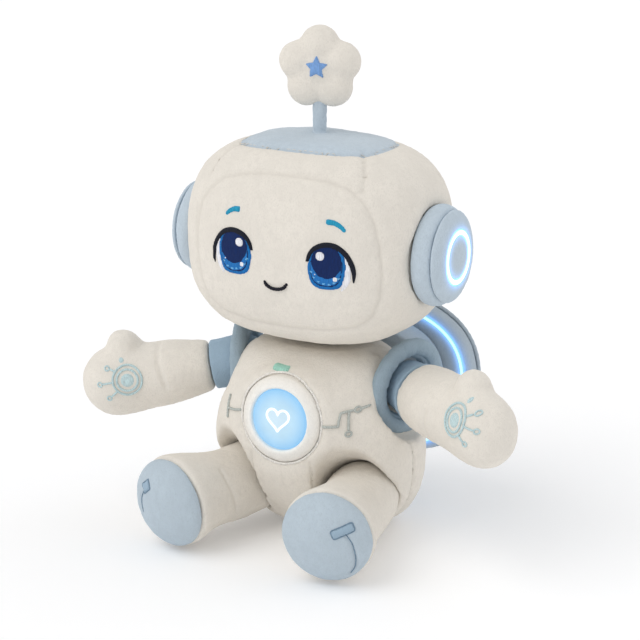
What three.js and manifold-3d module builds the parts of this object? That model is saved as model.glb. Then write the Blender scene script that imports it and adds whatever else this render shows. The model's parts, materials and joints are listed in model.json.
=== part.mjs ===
// A seated plush robot with lights: stuffed head, torso, arms and legs on plastic joints,
// with a light in the chest, in both ears and round the rim of the back pack.
// Millimetres, +Z up, the robot faces -Y and its left side is +X.
// The origin lies on the flat seat panel, on the surface that the robot sits on, straight below the neck.
import * as THREE from 'three';
import { mergeVertices } from 'three/addons/utils/BufferGeometryUtils.js';
import Module from 'manifold-3d';

const wasm = await Module();
wasm.setup();

// ---------------------------------------------------------------- driving dimensions
const gap = 0.35;                 // left between touching pieces
const round = Math.PI * 2;

const head = { z: 179, halfWidth: 78, halfDepth: 57, halfHeight: 61.5, plan: 2.8, side: 2.8 };
const headSeamY = 27;             // the seam behind the ears, where the back panel starts
const padDepth = 6;               // thickness of the face pad and of the crown patch
const face = { halfWidth: 60, low: 135, high: 223, corner: 30 };
const crown = { halfWidth: 45, halfDepth: 32, exponent: 3, low: 222 };

// height, half-width, front and back of the torso at each height
const torsoProfile = [
  [0, 27, -9, 37], [2, 35, -14, 42], [6, 44, -20, 45.5], [13, 52.5, -27.5, 48.5], [25, 60.5, -39, 51],
  [40, 65, -46.5, 51], [56, 66, -49.5, 50], [72, 63.5, -48, 48], [87, 59, -43.5, 45],
  [99, 53.5, -37.5, 41], [108, 47, -31.5, 36], [113, 40, -26, 31], [115.3, 32, -21, 26],
];
const torsoPlan = 2.2;
const seat = { halfWidth: 23, halfDepth: 18, middleY: 12.5, thickness: 2 };

const ear = { z: 176, seatX: 72, radius: 28.5, bandEnd: 80.5, faceX: 88.5 };
const earLight = { outer: 16.4, inner: 12.2, proud: 0.6 };

const antenna = {
  rootZ: 236, rootBall: 5.2, stemRadius: 4.3, flowerZ: 276.8, lobe: 13, lobeReach: 12.6, bend: 257, turn: 15,
};

const chest = { z: 79.4, lensRadius: 17.6, bezelRadius: 25.4, face: -49.4, tilt: 4, travel: 2 };

const shoulder = { x: 57, y: 6, z: 92.5, ball: 14.9 };
const ringFrame = { forward: 16, droop: 4, behind: 1, major: 24.2, minor: 5.3 };
const armForward = { left: 33, right: 27 };
const armDroop = { left: 1.5, right: 10.5 };
const sleeveEnd = 19;
// distance along the arm and radius
const sleeveProfile = [[0, 14.6], [7, 14.9], [12, 15.6], [16, 17.2], [sleeveEnd, 18]];
const forearmProfile = [
  [sleeveEnd + gap, 18.4], [24, 20.2], [35, 21.2], [47, 20.9], [58, 21], [69, 22.6],
  [80, 22.8], [89, 20.2], [96, 14], [99.4, 7],
];
const armTip = 101;
const handFlatness = 0.84;
const thumb = { along: 65, up: 18, length: 14, radius: 11.4, lean: 18 };

const cup = { stem: 5, flange: 9, depth: 30, flangeThickness: 3.5, outer: 10.8, inner: 8.4 };

const hip = { left: 39, right: 38, y: -20, z: 33.6, ball: 24.6 };
const legSplay = { left: 10, right: 16 };
const legDroop = 4.5;
// distance along the leg and radius
const legProfile = [[0, 24.5], [14, 24], [28, 23.2], [40, 24], [50, 26], [57, 26.6], [61, 25.9]];
const padProfile = [[61.35, 25.4], [66, 23.4], [70, 18.5], [72.6, 10]];
const soleEnd = 73.6;
const legRange = { up: 3, down: 30 };
const hipAxle = { radius: 3, discRadius: 10, discFrom: 43, discTo: 46 };

const pack = {
  z: 79, halfWidth: 71.5, halfHeight: 51.5, plan: 2.5,
  frontY: 61, rimBack: 72, backY: 92,
};
const packStrip = { inset: 6.3, radius: 1.4 };
const plinth = { halfWidth: 55, halfHeight: 40, frontY: 30 };

const batteryBox = { width: 62, depth: 15, height: 46, z: 80, y: 82, wall: 1.6 };
const slider = { x: 20, up: 15, width: 5, height: 4, slot: 9, travel: 1.6 };
const cell = { radius: 5.2, length: 44, pitch: 11.2 };

// ---------------------------------------------------------------- colours
const look = (colour, roughness, metalness = 0) =>
  new THREE.MeshStandardMaterial({ color: colour, roughness, metalness });
const cream = look(0xece6db, 0.95);
const blue = look(0xb4c8dc, 0.95);
const starThread = look(0x7fa6dc, 0.8);
const glow = look(0xc9efff, 0.35);
const milky = look(0xf2f1ee, 0.5);
const plastic = look(0xe4e6e8, 0.45);
const nylon = look(0xf4f2ea, 0.5);
const board = look(0x2c6b47, 0.6);
const steel = look(0xb9bcc2, 0.35, 0.9);
const cellWrap = look(0x5b6b80, 0.4, 0.3);
const black = look(0x26282c, 0.6);

// ---------------------------------------------------------------- solids
const unit = (x, y, z) => new THREE.Vector3(x, y, z).normalize();
const degrees = THREE.MathUtils.degToRad;

// A three.js geometry, placed by a matrix, as a manifold-3d solid.
function solid(geometry, matrix = new THREE.Matrix4()) {
  const bare = new THREE.BufferGeometry();
  bare.setAttribute('position', geometry.getAttribute('position').clone());
  if (geometry.index) bare.setIndex(geometry.index.clone());
  bare.applyMatrix4(matrix);
  const merged = mergeVertices(bare, 1e-3);
  return new wasm.Manifold(new wasm.Mesh({
    numProp: 3,
    vertProperties: merged.attributes.position.array,
    triVerts: new Uint32Array(merged.index.array),
  }));
}

// The vertices and triangles of a manifold-3d solid as a three.js geometry.
function geometryOf(made) {
  const mesh = made.getMesh();
  const geometry = new THREE.BufferGeometry();
  const positions = new Float32Array(mesh.numVert * 3);
  for (let i = 0; i < mesh.numVert; i++) {
    positions.set(mesh.vertProperties.subarray(i * mesh.numProp, i * mesh.numProp + 3), i * 3);
  }
  geometry.setAttribute('position', new THREE.BufferAttribute(positions, 3));
  geometry.setIndex(new THREE.BufferAttribute(mesh.triVerts, 1));
  geometry.computeVertexNormals();
  return geometry;
}

// A closed skin over rings of points that all run the same way round, with a fan at each end.
function loft(rings) {
  const count = rings[0].length;
  const positions = [];
  const index = [];
  const middle = (ring) => ring.reduce((sum, p) => sum.add(p), new THREE.Vector3()).divideScalar(count);
  for (const ring of rings) for (const p of ring) positions.push(p.x, p.y, p.z);
  const first = rings.length * count;
  const last = first + 1;
  for (const end of [rings[0], rings[rings.length - 1]]) positions.push(...middle(end).toArray());
  for (let r = 0; r < rings.length - 1; r++) {
    for (let i = 0; i < count; i++) {
      const a = r * count + i;
      const b = r * count + ((i + 1) % count);
      index.push(a, b, a + count, b, b + count, a + count);
    }
  }
  const top = (rings.length - 1) * count;
  for (let i = 0; i < count; i++) {
    const next = (i + 1) % count;
    index.push(first, next, i, last, top + i, top + next);
  }
  const geometry = new THREE.BufferGeometry();
  geometry.setAttribute('position', new THREE.Float32BufferAttribute(positions, 3));
  geometry.setIndex(index);
  return geometry;
}

const signedPower = (value, power) => Math.sign(value) * Math.abs(value) ** power;

// A ring in a level plane: an ellipse at exponent 2, and squarer above that.
function levelRing(z, halfWidth, halfDepth, exponent, count, middleY = 0) {
  return Array.from({ length: count }, (_, i) => {
    const angle = (i / count) * round;
    return new THREE.Vector3(
      halfWidth * signedPower(Math.cos(angle), 2 / exponent),
      middleY + halfDepth * signedPower(Math.sin(angle), 2 / exponent),
      z,
    );
  });
}

// A rounded box with curved sides, centred on the origin.
function cushion(halfWidth, halfDepth, halfHeight, plan, side, rows, count) {
  const rings = [];
  for (let r = 1; r < rows; r++) {
    const tilt = (r / rows - 0.5) * Math.PI;
    const z = halfHeight * signedPower(Math.sin(tilt), 2 / side);
    const share = Math.max(0.02, 1 - Math.abs(z / halfHeight) ** side) ** (1 / side);
    rings.push(levelRing(z, halfWidth * share, halfDepth * share, plan, count));
  }
  return loft(rings);
}

// A round limb along +Z from a list of [distance, radius], with a point at each end where one is given.
function limb(profile, count, flatness = () => 1) {
  return loft(profile.map(([distance, radius]) =>
    Array.from({ length: count }, (_, i) => {
      const angle = (i / count) * round;
      return new THREE.Vector3(
        radius * Math.cos(angle),
        radius * Math.sin(angle) * flatness(distance),
        distance,
      );
    })));
}

// A turned piece about +Z from [radius, height] points, whose outline closes on itself or on the axis.
const turned = (outline, count = 32) =>
  new THREE.LatheGeometry(outline.map(([r, h]) => new THREE.Vector2(r, h)), count)
    .rotateX(Math.PI / 2);

// A disc or tube about +Z.
function tube(outer, inner, from, to, count = 32) {
  const outline = inner > 0
    ? [[inner, from], [outer, from], [outer, to], [inner, to], [inner, from]]
    : [[0, from], [outer, from], [outer, to], [0, to]];
  return turned(outline, count);
}

// The matrix that carries +Z to a direction and the origin to a place, keeping `up` upright.
function aim(origin, direction, up = new THREE.Vector3(0, 0, 1)) {
  const z = direction.clone().normalize();
  const x = new THREE.Vector3().crossVectors(up, z).normalize();
  const y = new THREE.Vector3().crossVectors(z, x);
  return new THREE.Matrix4().makeBasis(x, y, z).setPosition(origin);
}

const at = (x, y, z) => new THREE.Matrix4().makeTranslation(x, y, z);
const block = (width, depth, height, x, y, z) =>
  solid(new THREE.BoxGeometry(width, depth, height), at(x, y, z));

// A prism along Y from an outline in X and Z.
function prismY(outline, fromY, toY) {
  const shape = new THREE.Shape(outline.map(([x, z]) => new THREE.Vector2(x, z)));
  const geometry = new THREE.ExtrudeGeometry(shape, { depth: toY - fromY, bevelEnabled: false });
  return solid(geometry, new THREE.Matrix4().makeRotationX(Math.PI / 2).setPosition(0, toY, 0));
}

// A rounded rectangle as outline points.
function roundedRectangle(halfWidth, low, high, corner, steps = 5) {
  const points = [];
  const centres = [
    [halfWidth - corner, high - corner, 0], [-halfWidth + corner, high - corner, 1],
    [-halfWidth + corner, low + corner, 2], [halfWidth - corner, low + corner, 3],
  ];
  for (const [x, z, quarter] of centres) {
    for (let i = 0; i <= steps; i++) {
      const angle = (quarter + i / steps) * (Math.PI / 2);
      points.push([x + corner * Math.cos(angle), z + corner * Math.sin(angle)]);
    }
  }
  return points;
}

// ---------------------------------------------------------------- the assembly
const robot = new THREE.Group();

function add(name, made, material, matrix) {
  const mesh = new THREE.Mesh(made.isBufferGeometry ? made : geometryOf(made), material);
  mesh.name = name;
  if (matrix) mesh.applyMatrix4(matrix);
  robot.add(mesh);
  return mesh;
}

const sides = [['left', 1], ['right', -1]];

// ---------------------------------------------------------------- shoulder frames
const shoulderCentre = (sign) => new THREE.Vector3(sign * shoulder.x, shoulder.y, shoulder.z);
function outward(sign, forward, droop) {
  const f = degrees(forward);
  const d = degrees(droop);
  return unit(sign * Math.cos(f) * Math.cos(d), -Math.sin(f) * Math.cos(d), -Math.sin(d));
}
const ringAxis = (sign) => outward(sign, ringFrame.forward, ringFrame.droop);
const armAxis = (name, sign) => outward(sign, armForward[name], armDroop[name]);
const ringPlace = (sign) => aim(
  shoulderCentre(sign).addScaledVector(ringAxis(sign), -ringFrame.behind), ringAxis(sign));
const hipCentre = (name, sign) => new THREE.Vector3(sign * hip[name], hip.y, hip.z);
function legDirection(name, sign) {
  const splay = degrees(legSplay[name]);
  const droop = degrees(legDroop);
  return unit(sign * Math.sin(splay) * Math.cos(droop), -Math.cos(splay) * Math.cos(droop), -Math.sin(droop));
}

// ---------------------------------------------------------------- torso
const torsoRing = ([z, halfWidth, front, back], inset = 0) =>
  levelRing(z, halfWidth - inset, (back - front) / 2 - inset, torsoPlan, 28, (front + back) / 2);

// Two stuffed halves, sewn at the sides, with sockets for the balls of the arms and legs.
function buildTorso() {
  let body = solid(loft(torsoProfile.map((row) => torsoRing(row))));
  const { major, minor, behind } = ringFrame;
  const flangeEnd = -cup.depth + cup.flangeThickness;
  for (const [name, sign] of sides) {
    const armhole = aim(shoulderCentre(sign), ringAxis(sign));
    body = body
      .subtract(solid(new THREE.SphereGeometry(shoulder.ball + 1.5, 12, 8), at(...shoulderCentre(sign))))
      // the flat that the ring is sewn to, the ring's groove and the flanged stem of the cup
      .subtract(solid(tube(major + minor + 0.8, 0, -behind - 1.5, 40, 20), armhole))
      .subtract(solid(new THREE.TorusGeometry(major, minor + gap, 8, 20), ringPlace(sign)))
      .subtract(solid(tube(cup.stem + 2 * gap, 0, -cup.depth, 0, 8), armhole))
      .subtract(solid(tube(cup.flange + 3 * gap, 0, -cup.depth - gap, flangeEnd + gap, 10), armhole))
      .subtract(solid(new THREE.SphereGeometry(hip.ball + 1.3, 14, 8), at(...hipCentre(name, sign))));
    // the way that the thigh sweeps as the leg swings
    for (const turn of [-legRange.down, -legRange.down / 2, legRange.up]) {
      const swing = new THREE.Matrix4().makeRotationX(-degrees(turn));
      const axis = legDirection(name, sign).applyMatrix4(swing);
      const thigh = limb([[0, 26.2], [34, 26], [60, 28]], 12);
      body = body.subtract(solid(thigh, aim(hipCentre(name, sign), axis)));
    }
  }
  body = body
    // the flat seat panel, the chest light, the neck joint and the hip axle
    .subtract(solid(seatDisc(gap, -1, seat.thickness + gap)))
    .subtract(solid(tube(chest.bezelRadius + gap, 0, -12, 30, 24), chestMatrix()))
    .subtract(solid(tube(5.5, 0, 98, 122, 16)))
    .subtract(solid(tube(16.4, 0, 98.5, 107.9, 20)))
    .subtract(solid(tube(hipAxle.radius + gap, 0, -20, 20, 12), axleMatrix()))
    // the speaker and the wires behind the chest light
    .subtract(block(34.7, 20.7, 34.7, 0, 14, 69))
    .subtract(block(7, 80, 7, 0, 0, 79))
    // the plinth of the pack
    .subtract(packOutlineSolid(plinth.halfWidth + gap, plinth.halfHeight + gap, plinth.frontY, 80));
  const far = 200;
  add('torso_front', body.intersect(block(far, far, 2 * far, 0, -far / 2 - gap / 2, 0)), cream);
  add('torso_back', body.intersect(block(far, far, 2 * far, 0, far / 2 + gap / 2, 0)), cream);
  add('seat_panel', seatDisc(0, 0, seat.thickness), cream);
}

const seatDisc = (grow, from, to) => loft([from, to].map((z) => levelRing(
  z, seat.halfWidth + grow, seat.halfDepth + grow, 2, 32, seat.middleY)));

const chestNormal = unit(0, -Math.cos(degrees(chest.tilt)), Math.sin(degrees(chest.tilt)));
const chestMatrix = () => aim(new THREE.Vector3(0, chest.face, chest.z), chestNormal);
const axleMatrix = () => new THREE.Matrix4().makeRotationY(Math.PI / 2).setPosition(0, hip.y, hip.z);

// ---------------------------------------------------------------- chest light, pressed like a button
function buildChest() {
  const place = chestMatrix();
  const bezel = [
    [chest.lensRadius + 0.5, -9], [chest.bezelRadius, -9], [chest.bezelRadius, -1.6],
    [chest.bezelRadius - 1.6, 0.6], [chest.bezelRadius - 4, 1.2], [chest.lensRadius + 1.8, 0.2],
    [chest.lensRadius + 0.5, -1.2], [chest.lensRadius + 0.5, -9],
  ];
  add('chest_bezel', turned(bezel, 24), cream, place);
  const lens = [
    [0, -4], [chest.lensRadius, -4], [chest.lensRadius, -1.2], [chest.lensRadius - 1.2, -0.2], [0, 0.4],
  ];
  const heart = heartOutline(7.2).map(([x, y]) => new THREE.Vector2(x, y));
  const heartPrism = (grow, from, to) => solid(
    new THREE.ExtrudeGeometry(
      new THREE.Shape(heart.map((p) => p.clone().multiplyScalar(grow))),
      { depth: to - from, bevelEnabled: false }),
    at(0, 0.5, from));
  const seatForHeart = heartPrism(1.08, -1.4, 3);
  add('chest_lens', solid(turned(lens, 24)).subtract(seatForHeart), glow, place);
  add('chest_heart', heartPrism(1, -1, 1), milky, place);
  add('chest_light_board', tube(chest.lensRadius + 5, 0, -11, -9.4, 24), board, place);
  add('chest_switch', tube(3.2, 0, -9.1, -6.4, 12), black, place);
}

// A heart in X and Y, `size` wide each side.
function heartOutline(size) {
  return Array.from({ length: 18 }, (_, i) => {
    const t = (i / 18) * round;
    const x = 16 * Math.sin(t) ** 3;
    const y = 13 * Math.cos(t) - 5 * Math.cos(2 * t) - 2 * Math.cos(3 * t) - Math.cos(4 * t);
    return [(x / 16) * size, (y / 16) * size];
  }).reverse();
}

// ---------------------------------------------------------------- shoulders and arms
// A round arc of [radius, height] points about the origin.
function arc(radius, fromDegrees, toDegrees, steps) {
  return Array.from({ length: steps + 1 }, (_, i) => {
    const angle = degrees(fromDegrees + (i / steps) * (toDegrees - fromDegrees));
    return [Math.max(0, radius * Math.cos(angle)), radius * Math.sin(angle)];
  });
}

// The cup and its flanged stem about +Z, with the ball's centre at the origin.
const cupOutline = () => turned([
  [0, -cup.depth], [cup.flange, -cup.depth], [cup.flange, -cup.depth + cup.flangeThickness],
  [cup.stem, -cup.depth + cup.flangeThickness], ...arc(cup.outer, -62, 35, 4), ...arc(cup.inner, 35, -90, 5),
], 12);

function buildArm(name, sign) {
  const centre = shoulderCentre(sign);
  const ring = new THREE.TorusGeometry(ringFrame.major, ringFrame.minor, 8, 20);
  add(`${name}_shoulder_ring`, ring, blue, ringPlace(sign));
  add(`${name}_shoulder_cup`, cupOutline(), plastic, aim(centre, ringAxis(sign)));
  add(`${name}_shoulder_ball`, new THREE.SphereGeometry(cup.inner - 0.6, 12, 8), nylon, at(...centre));

  const axis = armAxis(name, sign);
  const place = aim(centre, axis);
  // the root ball of the sleeve, hollow where the cup and its stem are
  const stemWay = solid(new THREE.ConeGeometry(37, 26, 10).rotateX(Math.PI / 2),
    aim(centre, ringAxis(sign)).multiply(at(0, 0, -13)));
  const stud = solid(studOutline(gap), place);
  const sleeve = solid(new THREE.SphereGeometry(shoulder.ball, 14, 8), at(...centre))
    .add(solid(limb(sleeveProfile, 14), place))
    .subtract(solid(new THREE.SphereGeometry(12.6, 10, 6), at(...centre)))
    .subtract(stemWay)
    .subtract(stud);
  add(`${name}_sleeve`, sleeve, blue);
  add(`${name}_arm_stud`, studOutline(), nylon, place);

  // a mitten: the hand is flatter than the wrist, and the thumb stands on its upper side
  const flatness = (distance) => 1 - (1 - handFlatness) * THREE.MathUtils.smoothstep(distance, 40, 66);
  const up = uprightOf(axis);
  const lean = degrees(thumb.lean);
  const thumbDirection = up.clone().multiplyScalar(Math.cos(lean)).addScaledVector(axis, Math.sin(lean));
  const thumbCentre = centre.clone().addScaledVector(axis, thumb.along).addScaledVector(up, thumb.up);
  const thumbSolid = solid(
    cushion(thumb.radius, thumb.radius * 0.95, thumb.length, 2, 2.2, 7, 10),
    aim(thumbCentre, thumbDirection, axis));
  const forearm = solid(limb([...forearmProfile, [armTip, 3]], 16, flatness), edgewise(centre, axis))
    .add(thumbSolid)
    .subtract(stud);
  add(`${name}_forearm`, forearm, cream);
}

const uprightOf = (axis) => {
  const up = new THREE.Vector3(0, 0, 1);
  return up.addScaledVector(axis, -up.dot(axis)).normalize();
};
// A frame with +Z along the arm, +X up the hand and +Y across the palm.
function edgewise(centre, axis) {
  const up = uprightOf(axis);
  const across = new THREE.Vector3().crossVectors(axis, up);
  return new THREE.Matrix4().makeBasis(up, across, axis).setPosition(centre);
}

// The rod and the disc that hold the arm to the ball, about +Z from the ball's centre.
function studOutline(extra = 0) {
  return turned([
    [0, 8.25 - extra * 2], [3.2 + extra, 8.25 - extra * 2],
    [3.2 + extra, 13 - extra], [11 + extra, 13 - extra],
    [11 + extra, 16 + extra], [3.2 + extra, 16 + extra], [3.2 + extra, 28 + extra], [0, 28 + extra],
  ], 10);
}

// ---------------------------------------------------------------- legs
function buildLeg(name, sign) {
  const centre = hipCentre(name, sign);
  const place = aim(centre, legDirection(name, sign));
  const axle = axleMatrix();
  const mirrored = (from, to, radius) => solid(
    tube(radius, 0, Math.min(sign * from, sign * to), Math.max(sign * from, sign * to), 12), axle);
  const leg = solid(new THREE.SphereGeometry(hip.ball, 16, 9), at(...centre))
    .add(solid(limb(legProfile, 16), place))
    .subtract(mirrored(0, hipAxle.discTo + 0.6, hipAxle.radius + 0.6))
    .subtract(mirrored(hipAxle.discFrom - 0.6, hipAxle.discTo + 0.6, hipAxle.discRadius + 0.6));
  add(`${name}_leg`, leg, cream);
  add(`${name}_foot_pad`, limb([...padProfile, [soleEnd, 4]], 16), blue, place);
}

function buildAxle() {
  const { radius, discRadius, discFrom, discTo } = hipAxle;
  add('hip_axle', turned([
    [0, -discTo], [discRadius, -discTo], [discRadius, -discFrom], [radius, -discFrom],
    [radius, discFrom], [discRadius, discFrom], [discRadius, discTo], [0, discTo],
  ], 14), nylon, axleMatrix());
}

// ---------------------------------------------------------------- head
const headShape = (inset, rows = 12, count = 28) => solid(
  cushion(
    head.halfWidth - inset, head.halfDepth - inset, head.halfHeight - inset,
    head.plan, head.side, rows, count),
  at(0, 0, head.z));

function buildHead() {
  const outer = headShape(0);
  const inner = headShape(padDepth);
  const faceWindow = (grow) => prismY(
    roundedRectangle(face.halfWidth + grow, face.low - grow, face.high + grow, face.corner + grow), -80, -20);
  const crownWindow = (grow) => solid(loft([crown.low, 260].map((z) => levelRing(
    z, crown.halfWidth + grow, crown.halfDepth + grow, crown.exponent, 28))));

  const facePad = outer.intersect(faceWindow(0)).subtract(inner);
  add('face_panel', facePad, cream);
  const crownPad = outer.intersect(crownWindow(0)).subtract(inner)
    .subtract(solid(tube(7.4, 0, 200, 260, 16)));
  add('crown_patch', crownPad, blue);

  let body = outer
    .subtract(faceWindow(gap).subtract(headShape(padDepth + gap)))
    .subtract(crownWindow(gap).subtract(headShape(padDepth + gap)))
    // the neck joint, the antenna socket
    .subtract(solid(tube(5.5, 0, 110, 122, 14)))
    .subtract(solid(tube(22.8, 0, 119.6, 123.4, 14)))
    .subtract(solid(tube(7.4, 0, antenna.rootZ - 8 - gap, 260, 16)));
  for (const [, sign] of sides) {
    const earSeat = tube(ear.radius + gap, 0, ear.seatX - gap, ear.seatX + 30, 20);
    body = body.subtract(solid(earSeat, earMatrix(sign)));
    body = body.subtract(solid(tube(14, 0, ear.seatX - 9, ear.seatX, 12), earMatrix(sign)));
  }
  const far = 200;
  add('head_gusset', body.intersect(block(far, far, far, 0, headSeamY - far / 2 - gap / 2, head.z)), cream);
  add('head_back', body.intersect(block(far, far, far, 0, headSeamY + far / 2 + gap / 2, head.z)), cream);

  add('neck_joint', turned([
    [0, 99], [9, 99], [9, 103], [5, 103.6], [5, 120], [22, 120], [22, 123], [0, 123],
  ], 14), nylon);
  add('neck_washer', tube(16, 5.6, 105, 107.5, 14), nylon);
}

// +Z of this frame points out of the ear.
const earMatrix = (sign) => new THREE.Matrix4().makeRotationY(sign * Math.PI / 2).setPosition(0, 0, ear.z);

function buildEar(name, sign) {
  const place = earMatrix(sign);
  const { seatX, radius, bandEnd, faceX } = ear;
  add(`${name}_ear_band`, turned([
    [14.4, seatX], [radius - 1.5, seatX], [radius, seatX + 3], [radius, bandEnd - 2],
    [radius - 1.4, bandEnd - gap], [14.4, bandEnd - gap], [14.4, seatX],
  ], 20), blue, place);
  const cap = [
    [0, bandEnd - 4], [14, bandEnd - 4], [14, bandEnd],
    [radius - 1.2, bandEnd], [radius - 0.4, bandEnd + 1.6],
    [radius - 3, faceX - 2.4], [radius - 8, faceX - 0.2],
    [earLight.outer + gap, faceX + 0.1], [earLight.outer + gap, faceX - 2.4],
    [earLight.inner - gap, faceX - 2.4], [earLight.inner - gap, faceX + 0.1], [0, faceX + 0.3],
  ];
  add(`${name}_ear_cap`, turned(cap, 20), blue, place);
  add(`${name}_ear_light`, turned([
    [earLight.inner, faceX - 2], [earLight.outer, faceX - 2], [earLight.outer, faceX + earLight.proud - 0.5],
    [(earLight.outer + earLight.inner) / 2, faceX + earLight.proud],
    [earLight.inner, faceX + earLight.proud - 0.5], [earLight.inner, faceX - 2],
  ], 20), glow, place);
  add(`${name}_ear_board`, tube(13.4, 0, seatX - 8, seatX - 6.4, 12), board, place);
}

// ---------------------------------------------------------------- antenna
function buildAntenna() {
  const { rootZ, rootBall, stemRadius, flowerZ, bend } = antenna;
  const cupInner = rootBall + 0.5;
  add('antenna_socket', turned([
    [0, -8], [7, -8], [7, 1.5], ...arc(cupInner, 15, -90, 6),
  ], 16), plastic, at(0, 0, rootZ));
  add('antenna_stem', turned([
    ...arc(rootBall, -90, 45, 6), [3.3, rootBall], [stemRadius, rootBall + 3],
    [stemRadius, bend - rootZ], [stemRadius * 0.7, bend - rootZ + 2.6], [0, bend - rootZ + 3.2],
  ], 14), blue, at(0, 0, rootZ));
  const flower = flowerSolid()
    .subtract(solid(tube(stemRadius + gap, 0, bend - 20, bend + 3.2 + gap, 14)));
  const turn = new THREE.Matrix4().makeRotationZ(degrees(antenna.turn));
  add('antenna_flower', flower, cream, turn);
  const star = starOutline(7.4, 3.7).map(([x, z]) => [x, z + flowerZ + 0.5]);
  add('antenna_star', prismY(star, -11.9, -10.9), starThread, turn);
}

function flowerSolid() {
  const { flowerZ, lobe, lobeReach } = antenna;
  let made = solid(cushion(13, 10.4, 13, 2, 2.4, 7, 12), at(0, 0, flowerZ));
  for (let i = 0; i < 5; i++) {
    const angle = (i / 5) * round;
    made = made.add(solid(cushion(lobe, 9.8, lobe, 2, 2.2, 6, 10),
      at(lobeReach * Math.sin(angle), 0, flowerZ + lobeReach * Math.cos(angle))));
  }
  return made;
}

function starOutline(outer, inner) {
  return Array.from({ length: 10 }, (_, i) => {
    const angle = (i / 10) * round;
    const radius = i % 2 ? inner : outer;
    return [radius * Math.sin(angle), radius * Math.cos(angle)];
  }).reverse();
}

// ---------------------------------------------------------------- back pack
// The pack's outline drawn in X and Z and run along Y.
function packOutlineSolid(halfWidth, halfHeight, fromY, toY, count = 28) {
  const rings = [fromY, toY].map((y) => packRing(halfWidth, halfHeight, y, count));
  return solid(loft(rings));
}
function packRing(halfWidth, halfHeight, y, count = 28) {
  return levelRing(0, halfWidth, halfHeight, pack.plan, count)
    .map((p) => new THREE.Vector3(p.x, y, pack.z - p.y));
}

function buildPack() {
  const { halfWidth, halfHeight, frontY, rimBack, backY } = pack;
  const ringAt = (y, inset) => packRing(halfWidth - inset, halfHeight - inset, y);
  const stripPath = new THREE.CatmullRomCurve3(
    packRing(halfWidth - packStrip.inset, halfHeight - packStrip.inset, frontY - 0.2, 20), true);
  const groove = stripTube(stripPath, packStrip.radius + gap);
  const box = batteryBox;
  const boxHole = block(box.width + 0.8, 40, box.height + 0.8, 0, box.y + 12, box.z);
  const boardHole = block(50.7, 8.7, 34.7, 0, 60.5, 81);

  const rim = solid(loft([
    ringAt(frontY, 4), ringAt(frontY + 1.4, 1.6), ringAt(frontY + 5, 0),
    ringAt(rimBack - 2, 0.2), ringAt(rimBack - gap, 1.6),
  ]))
    .subtract(groove)
    .subtract(boardHole)
    .subtract(boxHole);
  add('pack_rim', rim, blue);
  const shell = solid(loft([
    ringAt(rimBack, 1.8), ringAt(rimBack + 2, 0.6), ringAt(rimBack + 8, 3), ringAt(rimBack + 14, 10),
    ringAt(rimBack + 18, 20), ringAt(backY, 34),
  ])).subtract(boxHole);
  add('pack_shell', shell, blue);
  const plinthSolid = packOutlineSolid(plinth.halfWidth, plinth.halfHeight, plinth.frontY + gap, frontY - gap)
    .subtract(torsoBackWall())
    .subtract(boardHole)
    .subtract(block(7, 60, 7, 0, 40, 79));
  add('pack_plinth', plinthSolid, blue);
  add('pack_light_strip', stripTube(stripPath, packStrip.radius), glow);
}

// everything in front of the plinth: the torso's own outline, drawn in
const torsoBackWall = () => solid(loft(torsoProfile.map((row) => torsoRing(row, 9 - gap))));

function stripTube(path, radius) {
  const shape = new THREE.Shape();
  shape.absarc(0, 0, radius, 0, round, false);
  const geometry = new THREE.ExtrudeGeometry(shape, {
    steps: 32, extrudePath: path, bevelEnabled: false, curveSegments: 3,
  });
  return solid(geometry);
}

// ---------------------------------------------------------------- electronics
function buildElectronics() {
  const { width, depth, height, z, y, wall } = batteryBox;
  const box = block(width, depth, height, 0, y, z)
    .subtract(block(width - 2 * wall, depth, height - 2 * wall, 0, y + wall, z));
  add('battery_box', box, black);
  for (let i = 0; i < 3; i++) {
    add(`battery_cell_${i + 1}`,
      new THREE.CylinderGeometry(cell.radius, cell.radius, cell.length, 14).rotateZ(Math.PI / 2),
      cellWrap, at(-4, y - 0.3, z + (i - 1) * cell.pitch - 4));
  }
  add('control_board', block(50, 1.6, 34, 0, 60, 81), board);
  add('speaker', turned([
    [0, 4.5], [9, 4.5], [9, 10], [16, 14], [16.6, 15], [16.6, 20], [15, 20], [13, 16.5], [0, 15.4],
  ], 16), black, new THREE.Matrix4().makeRotationX(-Math.PI / 2).setPosition(0, 0, 69));
  // the cover closes the box at the back, and holds the screw and the sliding power switch
  const outer = y + depth / 2;
  const coverFace = new THREE.Matrix4().makeRotationX(-Math.PI / 2);
  const screwPlace = coverFace.clone().setPosition(0, outer, z - 18);
  const cover = block(width - 2 * wall - 1, 2, height - 2 * wall - 1, 0, outer - 1.2, z)
    .subtract(solid(tube(1.8, 0, -4, 4, 12), screwPlace))
    .subtract(block(slider.slot, 4, slider.height + 2 * gap, slider.x, outer - 1.2, z + slider.up));
  add('battery_cover', cover, plastic);
  const screw = turned([[0, -2.6], [1.3, -2.6], [1.3, 0.2], [2.8, 0.3], [2.8, 1.3], [0, 1.6]], 12);
  add('battery_cover_screw', screw, steel, screwPlace);
  add('power_switch', block(slider.width, 3, slider.height, slider.x, outer, z + slider.up), black);
}

buildTorso();
buildChest();
for (const [name, sign] of sides) {
  buildArm(name, sign);
  buildLeg(name, sign);
  buildEar(name, sign);
}
buildAxle();
buildHead();
buildAntenna();
buildPack();
buildElectronics();

export default robot;
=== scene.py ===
"""The seated plush robot: stuffed covers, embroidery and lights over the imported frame.

Shapes are worked in millimetres and become metres when a mesh is made.
"""
import json
import math

import bmesh
import bpy
import numpy as np
from mathutils import Matrix, Vector, noise
from mathutils.bvhtree import BVHTree
from mathutils.geometry import delaunay_2d_cdt
from mathutils.kdtree import KDTree


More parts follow.
